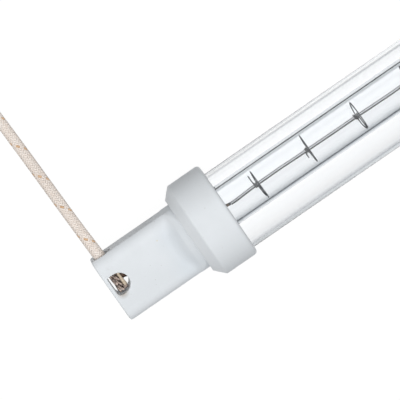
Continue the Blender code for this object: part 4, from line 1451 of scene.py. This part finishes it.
# white floor, soft light from above and surroundings of bright and dark strips along the lamp
stageSet = {
    "floorSize": 8.0,
    "floorHeight": -0.0001,
    "floorWhite": (0.30, 0.30, 0.30),
    "shadowDepth": 0.07,     # how much of the floor's white comes from the light, as the camera sees it
    "seenGlow": 0.96,
    "fill": 0.50,            # light from all round
    "keySize": 0.60,
    "keyPower": 4.5,
    "keyPlace": (-0.16, 0.06, 0.90),
    "keyAim": (-0.10, 0.0, 0.0),
    # what glass and metal see: angle about the lamp's line, 0 is up and 90 is the lead's side
    "strips": (
        (-180, 1.35), (-172, 1.19), (-165, 1.05), (-158, 1.10), (-150, 0.89), (-142, 0.62), (-134, 0.72),
        (-126, 0.28), (-116, 0.00), (-90, 0.00), (-66, 0.08), (-54, 0.42), (-42, 1.12), (-30, 1.55),
        (-18, 0.09), (-6, 0.02), (8, 0.66), (24, 1.02), (42, 0.83), (58, 0.33), (74, 0.02), (92, 0.52),
        (108, 0.20), (124, 0.00), (140, 0.00), (149, 0.11), (156, 1.03), (163, 1.23), (171, 0.62),
        (180, 1.35),
    ),
    "stripTint": (0.84, 1.00, 1.13),   # of the darker strips
    # the strips stand square to the lamp: towards its ends they fade into white
    "fadeFrom": 0.08,
    "fadeTo": 0.22,
    "fadeDepth": 0.62,
}


def seenBy(tree, kinds):
    # 1 for rays of any of these kinds, 0 for the rest
    path = addNode(tree, "ShaderNodeLightPath")
    share = path.outputs[kinds[0]]
    for kind in kinds[1:]:
        share = mathOf(tree, "MAXIMUM", share, path.outputs[kind])
    return share


def makeFloor():
    mesh = bpy.data.meshes.new("floor")
    half, height = stageSet["floorSize"] / 2, stageSet["floorHeight"]
    corners = ((-half, -half), (half, -half), (half, half), (-half, half))
    mesh.from_pydata([(x, y, height) for x, y in corners], [], [(0, 1, 2, 3)])
    floor = bpy.data.objects.new("floor", mesh)
    bpy.context.scene.collection.objects.link(floor)
    floor.visible_transmission = False
    floor.visible_glossy = False
    finish, tree, shader = startFinish("floor_white")
    tree.nodes.remove(shader)
    lit = addNode(tree, "ShaderNodeBsdfDiffuse", {"Color": (*stageSet["floorWhite"], 1.0)})
    depth = stageSet["shadowDepth"]
    pale = addNode(tree, "ShaderNodeBsdfDiffuse", {"Color": (depth, depth, depth, 1.0)})
    glow = addNode(tree, "ShaderNodeEmission", {"Strength": stageSet["seenGlow"]})
    both = addNode(tree, "ShaderNodeAddShader")
    tree.links.new(pale.outputs[0], both.inputs[0])
    tree.links.new(glow.outputs[0], both.inputs[1])
    mixed = mixShaders(tree, seenBy(tree, ["Is Camera Ray"]), lit, both)
    tree.links.new(mixed.outputs[0], tree.nodes["Material Output"].inputs["Surface"])
    mesh.materials.append(finish)


def makeSurroundings():
    world = bpy.data.worlds.new("surroundings")
    world.use_nodes = True
    bpy.context.scene.world = world
    tree = world.node_tree
    tree.nodes.remove(tree.nodes["Background"])
    direction = addNode(tree, "ShaderNodeTexCoord").outputs["Generated"]
    parts = addNode(tree, "ShaderNodeSeparateXYZ", {0: direction})
    angle = mathOf(tree, "ARCTAN2", parts.outputs["Y"], parts.outputs["Z"])
    ramp = addNode(tree, "ShaderNodeValToRGB", {0: between(tree, angle, -math.pi, math.pi)})
    most = max(level for _, level in stageSet["strips"])
    stops = ramp.color_ramp.elements
    for index, (degrees, level) in enumerate(stageSet["strips"]):
        place = (degrees + 180) / 360
        if index < 2:
            stop = stops[index]
            stop.position = place
        else:
            stop = stops.new(place)
        dark = max(1.0 - level, 0.0)
        stop.color = (*(level * (1.0 + dark * (tint - 1.0)) / most for tint in stageSet["stripTint"]), 1.0)
    white = (1.0, 1.0, 1.0, 1.0)
    fill = addNode(tree, "ShaderNodeBackground", {"Color": white, "Strength": stageSet["fill"]})
    endwards = mathOf(tree, "ABSOLUTE", parts.outputs["X"])
    fade = between(tree, endwards, stageSet["fadeFrom"], stageSet["fadeTo"], 0.0, stageSet["fadeDepth"])
    faded = blendColours(tree, fade, ramp.outputs["Color"], (1.0 / most, 1.0 / most, 1.0 / most))
    strips = addNode(tree, "ShaderNodeBackground", {"Color": faded, "Strength": most})
    seen = addNode(tree, "ShaderNodeBackground", {"Color": white, "Strength": 1.0})
    inner = mixShaders(tree, seenBy(tree, ["Is Glossy Ray", "Is Transmission Ray"]), fill, strips)
    outer = mixShaders(tree, seenBy(tree, ["Is Camera Ray"]), inner, seen)
    tree.links.new(outer.outputs[0], tree.nodes["World Output"].inputs["Surface"])


def makeKey():
    key = bpy.data.lights.new("key", "AREA")
    key.shape = "SQUARE"
    key.size = stageSet["keySize"]
    key.energy = stageSet["keyPower"]
    lamp = bpy.data.objects.new("key", key)
    lamp.location = stageSet["keyPlace"]
    lamp.rotation_euler = (Vector(stageSet["keyAim"]) - lamp.location).to_track_quat("-Z", "Y").to_euler()
    lamp.visible_transmission = False
    lamp.visible_glossy = False
    bpy.context.scene.collection.objects.link(lamp)
    bpy.context.scene.view_settings.view_transform = "Standard"


makeFloor()
makeSurroundings()
makeKey()
print("stage set")


# finishes for the solids that keep their own shape
def dress(names, finish):
    for name in names:
        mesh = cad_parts[name].data
        mesh.materials.clear()
        mesh.materials.append(finish)


dress(["cement_plug_near", "cement_plug_far"], cement)
dress(["molybdenum_foil_near", "molybdenum_foil_far"], foilMetal)
